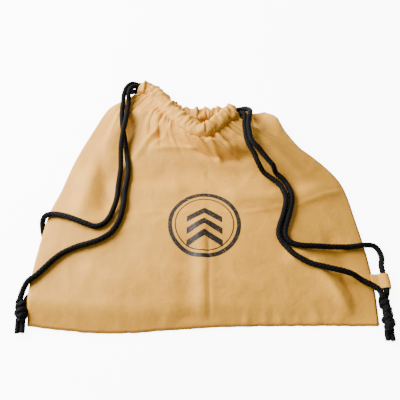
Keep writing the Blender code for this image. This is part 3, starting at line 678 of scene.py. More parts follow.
def edge_fade(s, t):
    """Return 0 on a panel's edges and 1 well inside it."""
    return (
        smooth_step(s / 0.12)
        * smooth_step((1 - s) / 0.12)
        * smooth_step(t / 0.10)
        * smooth_step((1 - t) / 0.06)
    )


def rim_fade(s, t):
    """Return 0 on a panel's edges and 1 a few millimetres inside it."""
    return (
        smooth_step(s / 0.02)
        * smooth_step((1 - s) / 0.02)
        * smooth_step(t / 0.02)
        * smooth_step((1 - t) / 0.012)
    )


def spread_shares(count):
    return [index / count for index in range(count + 1)]


def front_places(columns, rows):
    """Return the inner face of the front panel with its folds, creases and gathers."""
    depth = bpy.context.scene.bag_cloth.wrinkle_depth
    places = patch_grid(columns, rows, panel_curves(FRONT_MOUTH, 1))
    for (i, j), place in places.items():
        s, t = columns[i], rows[j]
        dome = math.sin(math.pi * s) ** 0.8 * math.sin(math.pi * min(t / 0.92, 1.0)) ** 0.8
        gather = ruffle_swell(FRONT_RUFFLES, s) * bump(t, 0.74, 1.04)
        near_mouth = smooth_step((t - 0.66) / 0.30)
        lean = s + 0.02 * noise.noise(Vector((s * 5.0, t * 6.0, 3.0))) * (1 - t) / 0.3
        waves = gather_waves(lean, 16, 2.0) * BROAD_GATHER * near_mouth
        waves += gather_waves(lean, 29, 5.0) * FINE_GATHER * smooth_step((t - 0.84) / 0.14)
        calm = 1 - 0.35 * bump(s, 0.25, 0.75) * bump(t, 0.1, 0.7)
        fine = crumple(place, 0.055, 1.0) * 0.0014 + crumple(place, 0.022, 4.0) * 0.00045
        fine *= calm
        place.z += DOME_RISE * dome
        place.z += (fold_height(s, t) + GATHER_RISE * gather) * edge_fade(s, t)
        relief = depth * (crease_height(place) + waves + fine)
        room = max(place.z - 3 * CLOTH, 0.0)
        place.z += max(relief, -0.6 * room) * rim_fade(s, t)
        place.z += depth * pucker_height(place, t) * smooth_step(t / 0.012)
    return places


def back_places(columns, rows):
    """Return the inner face of the back panel, with its lobe beyond the right seam."""
    edges = panel_curves(BACK_MOUTH, -1)
    places = patch_grid(columns, rows, edges)
    low = CLOTH
    tops = [edges[1](s).z for s in columns]
    lefts = [edges[2](t).z for t in rows]
    rights = [edges[3](t).z for t in rows]
    for (i, j), place in places.items():
        s, t = columns[i], rows[j]
        from_left = smooth_step((FLOOR_RUN - s) / (FLOOR_RUN - SHELF_RUN))
        turn = (1 + math.cos(math.pi * min((1 - s) / FLOOR_RUN, 1.0))) / 2
        from_right = turn**1.6
        from_mouth = smooth_step((t - 0.84) / 0.16) if t > 0.84 else 0.0
        edge_rise = (lefts[j] - low) * from_left + (rights[j] - low) * from_right
        place.z = low + edge_rise * (1 - from_mouth) + (tops[i] - low) * from_mouth
        lobe_run = FLOOR_RUN * (1 - 0.6 * smooth_step((t - 0.80) / 0.15))
        swing = math.sin(math.pi * min((1 - s) / lobe_run, 1.0))
        push = swing * bump(t, 0.60, 1.26) * smooth_step((0.973 - t) / 0.033)
        place.x += math.cos(LOBE_WAY) * LOBE_REACH * push
        place.y += math.sin(LOBE_WAY) * LOBE_REACH * push
        place.z -= LOBE_DROP * from_mouth * math.sqrt(push)
        corner = smooth_step((s - 0.84) / 0.08) * smooth_step((t - 0.93) / 0.04)
        crown = smooth_step((s - 0.84) / 0.06) * bump(t, 0.94, 1.02)
        place += Vector((0.010, 0.013, -0.008)) * corner + Vector((-0.001, 0.021, 0.006)) * crown
        lifted = smooth_step((place.z - 0.004) / 0.010) * rim_fade(s, t)
        place.z += lifted * (
            crumple(place, 0.040, 9.0) * 0.0012
            + gather_waves(s, 23, 11.0) * 0.0010 * smooth_step((t - 0.80) / 0.15)
        )
    return places


def finish_piece(name, shape, slot, material, replaced=()):
    """Add a piece to the scene on the bag's one body, in place of its plain solids."""
    piece = bpy.data.objects.new(name, mesh_from(shape, name))
    bpy.context.scene.collection.objects.link(piece)
    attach(piece, "root")
    if replaced:
        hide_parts(*replaced)
    piece.data.materials.append(material)
    return piece


def mesh_from(shape, name):
    mesh = bpy.data.meshes.new(name)
    shape.to_mesh(mesh)
    shape.free()
    mesh.shade_smooth()
    return mesh


def map_cloth(shape, where):
    """Write the cloth's flat UV map from each vertex's place on the flat cloth."""
    cloth_map = shape.loops.layers.uv.new("cloth")
    for face in shape.faces:
        for loop in face.loops:
            loop[cloth_map].uv = where[loop.vert]


def add_wall(piece, offset):
    """Give a piece of cloth its thickness."""
    wall = piece.modifiers.new("wall", "SOLIDIFY")
    wall.thickness = CLOTH
    wall.offset = offset
    wall.use_even_offset = False


def ruffle_shares(ruffles, steps):
    """Return shares along the mouth, closer together where the cloth is gathered tighter."""
    shares = []
    for ruffle in ruffles:
        for step in range(steps):
            shares.append(ruffle.start + (ruffle.end - ruffle.start) * step / steps)
    return shares + [1.0]


def make_panel(name, replaced, places, columns, rows, offset, material):
    """Make a panel of cloth from a grid laid on its places, with a wall and a flat UV map."""
    shape = bmesh.new()
    bmesh.ops.create_grid(
        shape, x_segments=len(columns) - 1, y_segments=len(rows) - 1, size=0.5
    )
    where = {}
    for vert in shape.verts:
        column = round((vert.co.x + 0.5) * (len(columns) - 1))
        row = round((vert.co.y + 0.5) * (len(rows) - 1))
        vert.co = places[column, row]
        where[vert] = (columns[column] * BAG_WIDTH, rows[row] * PANEL_HEIGHT)
    map_cloth(shape, where)
    piece = finish_piece(name, shape, "bag_cloth", material, [replaced])
    add_wall(piece, offset)
    return piece


def bridge_rings(shape, rings):
    """Add rings of places, bridge each one to the next, and return their vertices and edges."""
    rows = []
    loops = []
    for ring in rings:
        made = bmesh.ops.create_circle(shape, segments=len(ring), radius=1.0)
        for vert, place in zip(made["verts"], ring):
            vert.co = place
        rows.append(made["verts"])
        edges = [edge for vert in made["verts"] for edge in vert.link_edges]
        loops.append(list(dict.fromkeys(edges)))
    for near, far in zip(loops, loops[1:]):
        bmesh.ops.bridge_loops(shape, edges=near + far)
    return rows, loops


def casing_sections(swell):
    """Return a casing's outline round the middle: places to its free side and up, and turns."""
    places = []
    roundness = 2 / 2.6
    for index in range(CASING_SIDES):
        angle = 2 * math.pi * index / CASING_SIDES
        across = math.copysign(abs(math.cos(angle)) ** roundness, math.cos(angle))
        upward = math.copysign(abs(math.sin(angle)) ** roundness, math.sin(angle))
        loose = RUFFLE_SWELL * swell * smooth_step((across + 0.8) / 1.4)
        places.append(
            (
                across * CASING_WIDTH / 2 * (1 + loose),
                upward * CASING_DEPTH / 2 * (1 + 0.6 * loose),
                angle,
            )
        )
    return places


def pleat_height(run, angle, breadth, seed):
    """Return the height of the gathered cloth's puffs: full tops and sharply pinched valleys."""
    lean = 0.55 * noise.noise(Vector((run * 40.0, math.sin(angle) * 0.9, seed + 3.0)))
    where = Vector((run / breadth + lean, math.cos(angle) * 0.55, math.sin(angle) * 0.55 + seed))
    near, second = noise.voronoi(where)[0][:2]
    size = 0.8 + 0.8 * noise.noise(Vector((run * 70.0, math.sin(angle) * 0.5, seed + 8.0)))
    return size * min((second - near) / 0.34, 1.0)


def make_casing(name, replaced, stations, ruffles, seed, material):
    """Make a gathered tunnel of cloth along one edge of the mouth, pleated and crumpled."""
    depth = bpy.context.scene.bag_cloth.wrinkle_depth
    curve = table_curve(stations)
    shares = ruffle_shares(ruffles, CASING_STEPS_PER_RUFFLE)
    length = sum((curve(b) - curve(a)).length for a, b in zip(shares, shares[1:]))
    rings = []
    for share in shares:
        _, free, up = mouth_frame(curve, share)
        hemmed = smooth_step(share / 0.05) * smooth_step((1 - share) / 0.05)
        ring = []
        for across, upward, angle in casing_sections(ruffle_swell(ruffles, share)):
            outward = (free * math.cos(angle) + up * math.sin(angle)).normalized()
            loose = smooth_step((math.cos(angle) + 1.15) / 1.3)
            run = share * length
            pleat = pleat_height(run, angle, PUFF_BREADTH, seed) * PUFF_HEIGHT
            small = pleat_height(run, angle, PUFF_BREADTH * 0.45, seed + 20.0)
            pleat += small * SMALL_PUFF_HEIGHT
            place = curve(share) + free * across + up * upward
            rough = crumple(place, 0.013, seed) * 0.0006
            lift = pleat * (0.2 + 0.8 * loose) * (0.4 + 0.6 * hemmed) + rough - 0.0012
            ring.append(place + outward * (lift * depth))
        rings.append(ring)
    shape = bmesh.new()
    rows, _ = bridge_rings(shape, rings)
    bmesh.ops.recalc_face_normals(shape, faces=shape.faces)
    girth = 2 * (CASING_WIDTH + CASING_DEPTH)
    where = {}
    for share, row in zip(shares, rows):
        for index, vert in enumerate(row):
            where[vert] = (share * length, index / CASING_SIDES * girth)
    map_cloth(shape, where)
    piece = finish_piece(name, shape, "casing_cloth", material, [replaced])
    add_wall(piece, -1)
    return piece


def run_lengths(points):
    """Return each point's distance from the first, from point to point."""
    lengths = [0.0]
    for near, far in zip(points, points[1:]):
        lengths.append(lengths[-1] + (far - near).length)
    return lengths


def spread_evenly(points, step):
    """Return points a step apart on the smooth curve through the given points."""
    lengths = run_lengths(points)
    count = max(round(lengths[-1] / step), 2)
    return [
        smooth_through(lengths, points, lengths[-1] * index / count) for index in range(count + 1)
    ]


def relaxed(points, rounds):
    """Return a cord's points with their small kinks eased out, its ends kept."""
    eased = [point.copy() for point in points]
    for _ in range(rounds):
        eased = (
            eased[:1]
            + [(a + b * 2 + c) / 4 for a, b, c in zip(eased, eased[1:], eased[2:])]
            + eased[-1:]
        )
    return eased


def lane_points(stations, ruffles, lane):
    """Return points along a casing, in the lane beside its middle."""
    curve = table_curve(stations)
    points = []
    for share in ruffle_shares(ruffles, 3):
        _, free, _ = mouth_frame(curve, share)
        points.append(curve(share) + free * lane)
    return spread_evenly(points, LAYING_STEP)


def casing_exit(stations, share, lane):
    """Return where a lane leaves its casing and the way that it points there."""
    curve = table_curve(stations)
    way, free, _ = mouth_frame(curve, share)
    outward = way if share == 1.0 else -way
    return curve(share) + free * lane, outward


def drawcord_points(front_lane, back_lane, turn_share, turn):
    """Return the held stretch of a cord: through one casing, round the turn, and back."""
    front = lane_points(FRONT_MOUTH, FRONT_RUFFLES, front_lane)
    back = lane_points(BACK_MOUTH, BACK_RUFFLES, back_lane)
    if turn_share == 0.0:
        front.reverse()
        back.reverse()
    front_end, front_way = casing_exit(FRONT_MOUTH, turn_share, front_lane)
    back_end, back_way = casing_exit(BACK_MOUTH, turn_share, back_lane)
    near = [front_end, front_end + front_way * CORD_RADIUS]
    far = [back_end + back_way * CORD_RADIUS, back_end]
    places = [STAND + Vector(place) for place in turn]
    bend = spread_evenly(near + places + far, LAYING_STEP)
    return relaxed(front + bend[1:-1] + list(reversed(back)), 2)


def tree_of(piece):
    solid = piece.evaluated_get(bpy.context.evaluated_depsgraph_get())
    mesh = solid.to_mesh()
    faces = [tuple(face.vertices) for face in mesh.polygons]
    tree = BVHTree.FromPolygons([vert.co for vert in mesh.vertices], faces)
    solid.to_mesh_clear()
    return tree


def bed_height(trees, x, y):
    """Return the height of the highest cloth within a cord's radius of a place."""
    highest = 0.0
    for turn in range(9):
        angle = math.pi / 4 * turn
        reach = CORD_RADIUS * 0.8 if turn < 8 else 0.0
        place = Vector((x + reach * math.cos(angle), y + reach * math.sin(angle), 1.0))
        for tree in trees:
            hit = tree.ray_cast(place, Vector((0, 0, -1)))[0]
            if hit is not None:
                highest = max(highest, hit.z)
    return highest


def lay_route(route, trees):
    """Return a route's points, with the resting ones set down on what is below."""
    laid = []
    for x, y, height in route:
        place = STAND + Vector((x, y, 0.0))
        if height is RESTS:
            place.z = bed_height(trees, place.x, place.y) + CORD_RADIUS
        else:
            place.z = height
        laid.append(place)
    return laid


def settle(dense, first, last, trees):
    """Set a stretch of a cord down on what is below it, arching over what it crosses."""
    needs = [bed_height(trees, point.x, point.y) + CORD_RADIUS for point in dense]
    reach = round(math.sqrt(CORD_DIAMETER / CORD_ARCH) / LAYING_STEP)
    for index in range(first, last + 1):
        nearby = range(max(index - reach, first), min(index + reach, last) + 1)
        height = max(
            needs[other] - CORD_ARCH * ((other - index) * LAYING_STEP) ** 2 for other in nearby
        )
        ease = smooth_step(min(index - first, last - index) * LAYING_STEP / CORD_DIAMETER)
        dense[index].z += (height - dense[index].z) * ease


def strand_points(casing_end, route, knot, knot_side, trees):
    """Return a free strand's points from its casing's end, along its route, to its knot."""
    exit_place, exit_way = casing_end
    start = exit_place + exit_way * CLEARANCE * 3
    knot_place, knot_way = knot_entry(knot, knot_side)
    finish = knot_place - knot_way * CLEARANCE
    points = [start, start + exit_way * CORD_RADIUS]
    points += lay_route(route, trees)
    points += [finish - knot_way * CORD_RADIUS, finish]
    dense = spread_evenly(points, LAYING_STEP)
    lengths = run_lengths(points)
    resting = [index + 2 for index, row in enumerate(route) if row[2] is RESTS]
    first = math.ceil(lengths[resting[0]] / lengths[-1] * (len(dense) - 1))
    last = math.floor(lengths[resting[-1]] / lengths[-1] * (len(dense) - 1))
    settle(dense, first, last, trees)
    return relaxed(dense, 3)


def frames_along(points):
    """Return each point's way and two sides that turn with the line as little as possible."""
    ways = []
    for index in range(len(points)):
        before, after = points[max(index - 1, 0)], points[min(index + 1, len(points) - 1)]
        ways.append((after - before).normalized())
    side = ways[0].orthogonal().normalized()
    frames = []
    for way in ways:
        side = (side - way * side.dot(way)).normalized()
        frames.append((way, side, way.cross(side)))
    return frames


def braid_relief(turn, run):
    """Return the relief of a braid's crossing strands, from 0 to 1, at a turn and a length."""
    lay = 2 * math.pi * run / BRAID_PITCH
    around = 2 * math.pi * turn * BRAID_STRANDS
    return abs(math.sin((around + lay) / 2) * math.sin((around - lay) / 2)) ** 0.6


def add_tube(shape, points, radius_at, sides, relief=0.0):
    """Add a closed round tube along points, with its braid's relief and a UV map in metres."""
    cord_map = shape.loops.layers.uv.verify()
    lengths = run_lengths(points)
    rings = []
    for (_, side, other), point, run in zip(frames_along(points), points, lengths):
        radius = radius_at(run / lengths[-1])
        ring = []
        for index in range(sides):
            angle = 2 * math.pi * index / sides
            height = radius
            if relief:
                height += relief * (braid_relief(index / sides, run) - 0.25)
            ring.append(point + (side * math.cos(angle) + other * math.sin(angle)) * height)
        rings.append(ring)
    before = set(shape.faces)
    rows, loops = bridge_rings(shape, rings)
    bmesh.ops.holes_fill(shape, edges=loops[0], sides=sides)
    bmesh.ops.holes_fill(shape, edges=loops[-1], sides=sides)
    faces = [face for face in shape.faces if face not in before]
    bmesh.ops.recalc_face_normals(shape, faces=faces)
    where = {}
    for run, row in zip(lengths, rows):
        for index, vert in enumerate(row):
            where[vert] = (index / sides, run)
    for face in faces:
        turns = [where[loop.vert][0] for loop in face.loops]
        wraps = max(turns) - min(turns) > 0.5 and len(turns) == 4
        for loop in face.loops:
            turn, run = where[loop.vert]
            if wraps and turn < 0.5:
                turn += 1.0
            loop[cord_map].uv = (turn, run)


def make_cord(name, points, replaced, material):
    """Make a braided cord along points."""
    shape = bmesh.new()
    fine = spread_evenly(points, CORD_RING_STEP)
    add_tube(shape, fine, lambda share: CORD_RADIUS, CORD_SIDES, BRAID_RELIEF)
    return finish_piece(name, shape, "cord", material, [replaced])


def knot_axes(knot):
    forward = Vector((knot.way_across, knot.way_along, 0.0)).normalized()
    return forward, Vector((-forward.y, forward.x, 0.0))


def knot_entry(knot, knot_side):
    """Return where a strand meets its knot, and the way that it enters."""
    forward, side = knot_axes(knot)
    height = KNOT_ENTRY * KNOT_WIDTH
    slanted = side * math.cos(knot.slant) + Vector((0, 0, math.sin(knot.slant)))
    place = STAND + Vector((knot.across, knot.along, height))
    return place + slanted * (knot_side * LANE), forward


# One wrap or strand of a knot: where along the knot it starts and ends, as shares of its
# length, its first angle and its turns, the radius that it lies on and its own radius, both
# in metres, and the height of its middle at its two ends as shares of KNOT_WIDTH.
Wrap = namedtuple("Wrap", "start end angle turns reach thick height_start height_end")

ROUND_WRAPS = [
    Wrap(0.00, 0.50, 0.0, 0.3, 0.0006, 0.0058, 0.46, 0.44),
    Wrap(0.08, 0.44, 0.3, 1.7, 0.0048, 0.0036, 0.47, 0.46),
    Wrap(-0.04, 0.54, 2.5, 0.85, 0.0062, 0.0031, 0.49, 0.42),
    Wrap(0.28, 0.66, 4.0, 0.60, 0.0040, 0.0036, 0.44, 0.34),
]
LONG_WRAPS = [
    Wrap(0.00, 0.72, 0.0, 0.3, 0.0006, 0.0053, 0.46, 0.44),
    Wrap(0.05, 0.31, 0.6, 1.3, 0.0042, 0.0033, 0.47, 0.46),
    Wrap(-0.04, 0.46, 2.9, 0.70, 0.0050, 0.0030, 0.49, 0.46),
    Wrap(0.46, 0.70, 1.9, 1.2, 0.0046, 0.0034, 0.46, 0.44),
    Wrap(0.38, 0.78, 5.1, 0.60, 0.0050, 0.0030, 0.45, 0.38),
]


def wrap_points(knot, wrap):
    forward, side = knot_axes(knot)
    count = max(round(wrap.turns * 28), 12)
    points = []
    for index in range(count + 1):
        share = index / count
        angle = wrap.angle + 2 * math.pi * wrap.turns * share
        height = wrap.height_start + (wrap.height_end - wrap.height_start) * share
        place = STAND + Vector((knot.across, knot.along, height * KNOT_WIDTH))
        place += forward * ((wrap.start + (wrap.end - wrap.start) * share) * knot.length)
        reach = wrap.reach * (0.55 + 0.45 * math.sin(math.pi * (0.12 + 0.76 * share)))
        place += side * (reach * math.cos(angle)) + Vector((0, 0, reach * math.sin(angle)))
        place.z = max(place.z, wrap.thick + BRAID_RELIEF)
        points.append(place)
    return points


def tail_points(knot, start, spread, turn):
    """Return one tail of a knot, from inside the lump down to the floor."""
    forward, side = knot_axes(knot)
    points = []
    for share, aside, height in (
        (start, 0.10, 0.44),
        (start + (1 - start) * 0.30, 0.16, 0.34),
        (start + (1 - start) * 0.62, 0.19, 0.235),
        (0.985, 0.17 + turn, 0.215),
    ):
        place = STAND + Vector((knot.across, knot.along, height * KNOT_WIDTH))
        place += forward * (share * knot.length) + side * (spread * aside * KNOT_WIDTH)
        points.append(place)
    return spread_evenly(points, 0.0012)


def add_frays(shape, place, forward, radius, dice):
    """Add the loose threads at a cut end of the cord."""
    side = Vector((-forward.y, forward.x, 0.0))
    for _ in range(FRAY_COUNT):
        angle = dice.uniform(0, 2 * math.pi)
        reach = radius * math.sqrt(dice.random())
        aside = side * math.cos(angle) + Vector((0, 0, math.sin(angle)))
        root = place + aside * reach * 0.8 - forward * 0.001
        length = dice.uniform(0.0012, 0.0026)
        splay = aside * (0.35 * length * dice.random())
        tip = root + forward * length + splay
        tip.z = max(tip.z, 0.0004)
        middle = (root + tip) / 2 + aside * 0.0002
        add_tube(shape, [root, middle, tip], lambda share: FRAY_RADIUS * (1 - 0.6 * share), 5)


def make_knot(name, replaced, knot, wraps, tail_start, material):
    """Make a knot from its wraps of cord and its two frayed tails."""
    dice = random.Random(name)
    forward, _ = knot_axes(knot)
    relief = BRAID_RELIEF * 0.8
    shape = bmesh.new()
    for wrap in wraps:
        thick = wrap.thick
        add_tube(shape, wrap_points(knot, wrap), lambda share: thick, KNOT_SIDES, relief)
    for spread, turn in ((1.0, 0.05), (-1.0, 0.0)):
        points = tail_points(knot, tail_start, spread, turn)
        add_tube(
            shape, points, lambda share: TAIL_RADIUS * (1 - 0.12 * share), KNOT_SIDES, relief
        )
        add_frays(shape, points[-1], forward, 0.0024, dice)
    return finish_piece(name, shape, "cord", material, [replaced])


def tab_profile():
    """Return a folded ribbon's inner line: out from the seam, round the cord, and back."""
    turn = TAB_REACH - CLOTH - TAB_BORE
    lower = [
        (turn * share, -CLEARANCE / 2 - (TAB_BORE * 0.8) * smooth_step((share - 0.3) / 0.6))
        for share in (0.0, 0.12, 0.24, 0.36, 0.48, 0.60, 0.72, 0.82)
    ]
    upper = [(reach, -height) for reach, height in reversed(lower)]
    arc = []
    for index in range(17):
        angle = -math.pi * 0.6 + math.pi * 1.2 * index / 16
        arc.append((turn + TAB_BORE * math.cos(angle), TAB_BORE * math.sin(angle)))
    return lower + arc + upper


def make_tab(name, replaced, stations, from_bottom, gap, seed, material):
    """Make a small loop of ribbon beside a seam, folded round its cord."""
    seam = table_curve(stations)(from_bottom / PANEL_HEIGHT).x + gap
    first = STAND.y + from_bottom - TAB_LENGTH / 2
    profile = tab_profile()
    rows = 12
    shape = bmesh.new()
    bmesh.ops.create_grid(shape, x_segments=len(profile) - 1, y_segments=rows, size=0.5)
    where = {}
    for vert in shape.verts:
        column = round((vert.co.x + 0.5) * (len(profile) - 1))
        reach, height = profile[column]
        share = vert.co.y + 0.5
        ripple = 0.0003 * noise.noise(Vector((column * 0.35, share * 3.0, seed)))
        bowed = 0.0007 * math.sin(math.pi * share) * smooth_step(reach / TAB_REACH)
        tucked = TAB_TUCK * (1 - smooth_step(reach / (TAB_REACH * 0.3)))
        vert.co = Vector(
            (
                seam + reach + bowed - tucked,
                first + share * TAB_LENGTH + ripple,
                TAB_HEIGHT / 2 + height + math.copysign(abs(ripple), height),
            )
        )
        where[vert] = (column * 0.0012, share * TAB_LENGTH)
    map_cloth(shape, where)
    piece = finish_piece(name, shape, "tab_ribbon", material, [replaced])
    add_wall(piece, -1)
    rim = piece.modifiers.new("soft edge", "BEVEL")
    rim.width = 0.0003
    rim.segments = 2
    rim.limit_method = "ANGLE"
    return piece


def seam_line(step):
    """Return points round the bag's sewn edge: down the left, along the bottom, up the right."""
    left, bottom, right = map(table_curve, (LEFT_SEAM, BOTTOM_SEAM, RIGHT_SEAM))
    points = []
    for index in range(SEAM_STEPS):
        t = LEFT_SEAM[-1].share * (1 - index / SEAM_STEPS)
        points.append(left(t) + Vector((0, 0, tuck(t))))
    for index in range(SEAM_STEPS + 1):
        s = index / SEAM_STEPS
        points.append(bottom(s) + Vector((0, seam_wander(s), 0)))
    for index in range(1, SEAM_STEPS + 1):
        points.append(right(RIGHT_SEAM[-1].share * index / SEAM_STEPS))
    return spread_evenly(points, step)


def make_seam(material):
    """Make the turned seam's thin roll round the left, bottom and right edges."""
    shape = bmesh.new()
    points = seam_line(0.0022)
    lengths = run_lengths(points)

    def radius_at(share):
        pucker = noise.noise(Vector((share * lengths[-1] * 260.0, 4.0, 0.0)))
        ends = smooth_step(share / 0.02) * smooth_step((1 - share) / 0.02)
        return SEAM_ROLL * (0.35 + 0.65 * ends) * (1 + 0.10 * pucker)

    add_tube(shape, points, radius_at, 10)
    return finish_piece("edge_seam", shape, "bag_cloth", material)


def add_stitch(shape, start, end, sink):
    """Add one stitch: a short thread that dips into the cloth at both ends."""
    down = Vector((0, 0, sink))
    middle = (start + end) / 2 + down * 0.4
    quarter_a = start * 0.75 + end * 0.25 + down * 0.25
    quarter_b = start * 0.25 + end * 0.75 + down * 0.25
    run = [start - down, quarter_a, middle, quarter_b, end - down]
    add_tube(shape, run, lambda share: STITCH_RADIUS, 6)


def stitch_row(shape, line, trees):
    """Sew a row of stitches along a line, on the cloth that lies below it."""
    marks = spread_evenly(line, STITCH_PITCH)
    for near, far in zip(marks, marks[1:]):
        ends = [dropped(near.lerp(far, share), trees) for share in (0.12, 0.80)]
        if None not in ends and abs(ends[0].z - ends[1].z) < STITCH_PITCH:
            add_stitch(shape, ends[0], ends[1], STITCH_RADIUS)


def dropped(place, trees):
    """Return the highest point of the cloth under a place, or None where there is none."""
    above = Vector((place.x, place.y, 1.0))
    hits = [tree.ray_cast(above, Vector((0, 0, -1)))[0] for tree in trees]
    hits = [hit for hit in hits if hit is not None]
    return max(hits, key=lambda hit: hit.z) if hits else None


def new_tree(name):
    """Return a fresh material and its node tree, with a Principled BSDF and its output."""
    material = bpy.data.materials.new(name)
    material.use_nodes = True
    return material, material.node_tree, material.node_tree.nodes["Principled BSDF"]


def put(tree, target, source):
    """Feed an input socket from another socket, or set it to a value."""
    if isinstance(source, bpy.types.NodeSocket):
        tree.links.new(source, target)
    else:
        target.default_value = source


def compute(tree, operation, first, second=0.0, third=0.0):
    node = tree.nodes.new("ShaderNodeMath")
    node.operation = operation
    for socket, source in zip(node.inputs, (first, second, third)):
        put(tree, socket, source)
    return node.outputs[0]


def blend_colours(tree, factor, first, second, kind="MIX"):
    node = tree.nodes.new("ShaderNodeMix")
    node.data_type = "RGBA"
    node.blend_type = kind
    put(tree, node.inputs[0], factor)
    put(tree, node.inputs[6], first)
    put(tree, node.inputs[7], second)
    return node.outputs[2]


def spread(tree, value, low, high, to_low=0.0, to_high=1.0):
    node = tree.nodes.new("ShaderNodeMapRange")
    for socket, source in zip(node.inputs, (value, low, high, to_low, to_high)):
        put(tree, socket, source)
    return node.outputs[0]


def grain(tree, where, scale, detail=2.0, roughness=0.5):
    node = tree.nodes.new("ShaderNodeTexNoise")
    put(tree, node.inputs["Vector"], where)
    node.inputs["Scale"].default_value = scale
    node.inputs["Detail"].default_value = detail
    node.inputs["Roughness"].default_value = roughness
    return node.outputs["Fac"]


def new_group(name, inputs, outputs):
    """Make an empty node group with named sockets."""
    tree = bpy.data.node_groups.new(name, "ShaderNodeTree")
    for label, kind in inputs:
        tree.interface.new_socket(label, in_out="INPUT", socket_type=kind)
    for label, kind in outputs:
        tree.interface.new_socket(label, in_out="OUTPUT", socket_type=kind)
    return tree, tree.nodes.new("NodeGroupInput"), tree.nodes.new("NodeGroupOutput")


def woven_cloth_group():
    """Plain woven nylon: its colour with soft mottling and painted shade in its hollows, its
    roughness and its threads.
    """
    tree, given, result = new_group(
        "Woven nylon",
        [
            ("Vector", "NodeSocketVector"),
            ("Colour", "NodeSocketColor"),
            ("Shade", "NodeSocketColor"),
            ("Hollow", "NodeSocketFloat"),
            ("Thread pitch", "NodeSocketFloat"),
            ("Crinkle", "NodeSocketFloat"),
        ],
        [
            ("Colour", "NodeSocketColor"),
            ("Roughness", "NodeSocketFloat"),
            ("Height", "NodeSocketFloat"),
        ],
    )
    where = given.outputs["Vector"]
    parts = tree.nodes.new("ShaderNodeSeparateXYZ")
    put(tree, parts.inputs[0], where)
    turn = compute(tree, "DIVIDE", 2 * math.pi, given.outputs["Thread pitch"])
    warp = compute(tree, "SINE", compute(tree, "MULTIPLY", parts.outputs[0], turn))
    weft = compute(tree, "SINE", compute(tree, "MULTIPLY", parts.outputs[1], turn))
    threads = compute(tree, "MULTIPLY", warp, weft)
    threads = compute(tree, "MULTIPLY_ADD", threads, 0.5, 0.5)
    broad = grain(tree, where, 14.0, 2.0, 0.5)
    middle = grain(tree, where, 75.0, 3.0, 0.55)
    fine = grain(tree, where, 420.0, 2.0, 0.6)
    mottle = compute(tree, "MULTIPLY_ADD", broad, 0.55, compute(tree, "MULTIPLY", middle, 0.45))
    shade = spread(tree, mottle, 0.36, 0.66, 0.30, 0.0)
    shade = compute(tree, "MULTIPLY_ADD", compute(tree, "SUBTRACT", 1.0, threads), 0.06, shade)
    # Painted shade: the cloth's depth below its surroundings pulls the colour towards the shaded
    # colour in its hollows
    shade = compute(tree, "ADD", shade, given.outputs["Hollow"])
    shade = compute(tree, "MINIMUM", compute(tree, "MAXIMUM", shade, 0.0), 1.0)
    colour = blend_colours(tree, shade, given.outputs["Colour"], given.outputs["Shade"])
    put(tree, result.inputs["Colour"], colour)
    rough = spread(tree, compute(tree, "MULTIPLY_ADD", fine, 0.5, middle), 0.4, 1.1, 0.50, 0.66)
    put(tree, result.inputs["Roughness"], rough)
    ridges = compute(tree, "ABSOLUTE", compute(tree, "SUBTRACT", middle, 0.5))
    crinkle = compute(tree, "MULTIPLY", ridges, given.outputs["Crinkle"])
    height = compute(tree, "MULTIPLY_ADD", threads, 0.06, crinkle)
    height = compute(tree, "MULTIPLY_ADD", fine, 0.05, height)
    put(tree, result.inputs["Height"], height)
    return tree


def braid_group():
    """Braided cord: where its strands cross and their height, from the cord's own map."""
    tree, given, result = new_group(
        "Braided cord",
        [
            ("Vector", "NodeSocketVector"),
            ("Strands", "NodeSocketFloat"),
            ("Pitch", "NodeSocketFloat"),
        ],
        [("Mask", "NodeSocketFloat"), ("Height", "NodeSocketFloat")],
    )
    parts = tree.nodes.new("ShaderNodeSeparateXYZ")
    put(tree, parts.inputs[0], given.outputs["Vector"])
    around = compute(tree, "MULTIPLY", parts.outputs[0], given.outputs["Strands"])
    along = compute(tree, "DIVIDE", parts.outputs[1], given.outputs["Pitch"])
    crossing = []
    for operation in ("ADD", "SUBTRACT"):
        lay = compute(tree, operation, around, along)
        crossing.append(compute(tree, "SINE", compute(tree, "MULTIPLY", lay, math.pi)))
    mask = compute(tree, "ABSOLUTE", compute(tree, "MULTIPLY", crossing[0], crossing[1]))
    fibres = compute(
        tree, "SINE", compute(tree, "MULTIPLY", compute(tree, "ADD", around, along), 5 * math.pi)
    )
    height = compute(tree, "MULTIPLY_ADD", fibres, 0.12, mask)
    put(tree, result.inputs["Mask"], mask)
    put(tree, result.inputs["Height"], height)
    return tree


def place_group(tree, group, **values):
    node = tree.nodes.new("ShaderNodeGroup")
    node.node_tree = group
    for label, source in values.items():
        put(tree, node.inputs[label.replace("_", " ")], source)
    return node


def add_bump(tree, shader, height, distance, strength=1.0):
    node = tree.nodes.new("ShaderNodeBump")
    node.inputs["Distance"].default_value = distance
    node.inputs["Strength"].default_value = strength
    put(tree, node.inputs["Height"], height)
    tree.links.new(node.outputs[0], shader.inputs["Normal"])


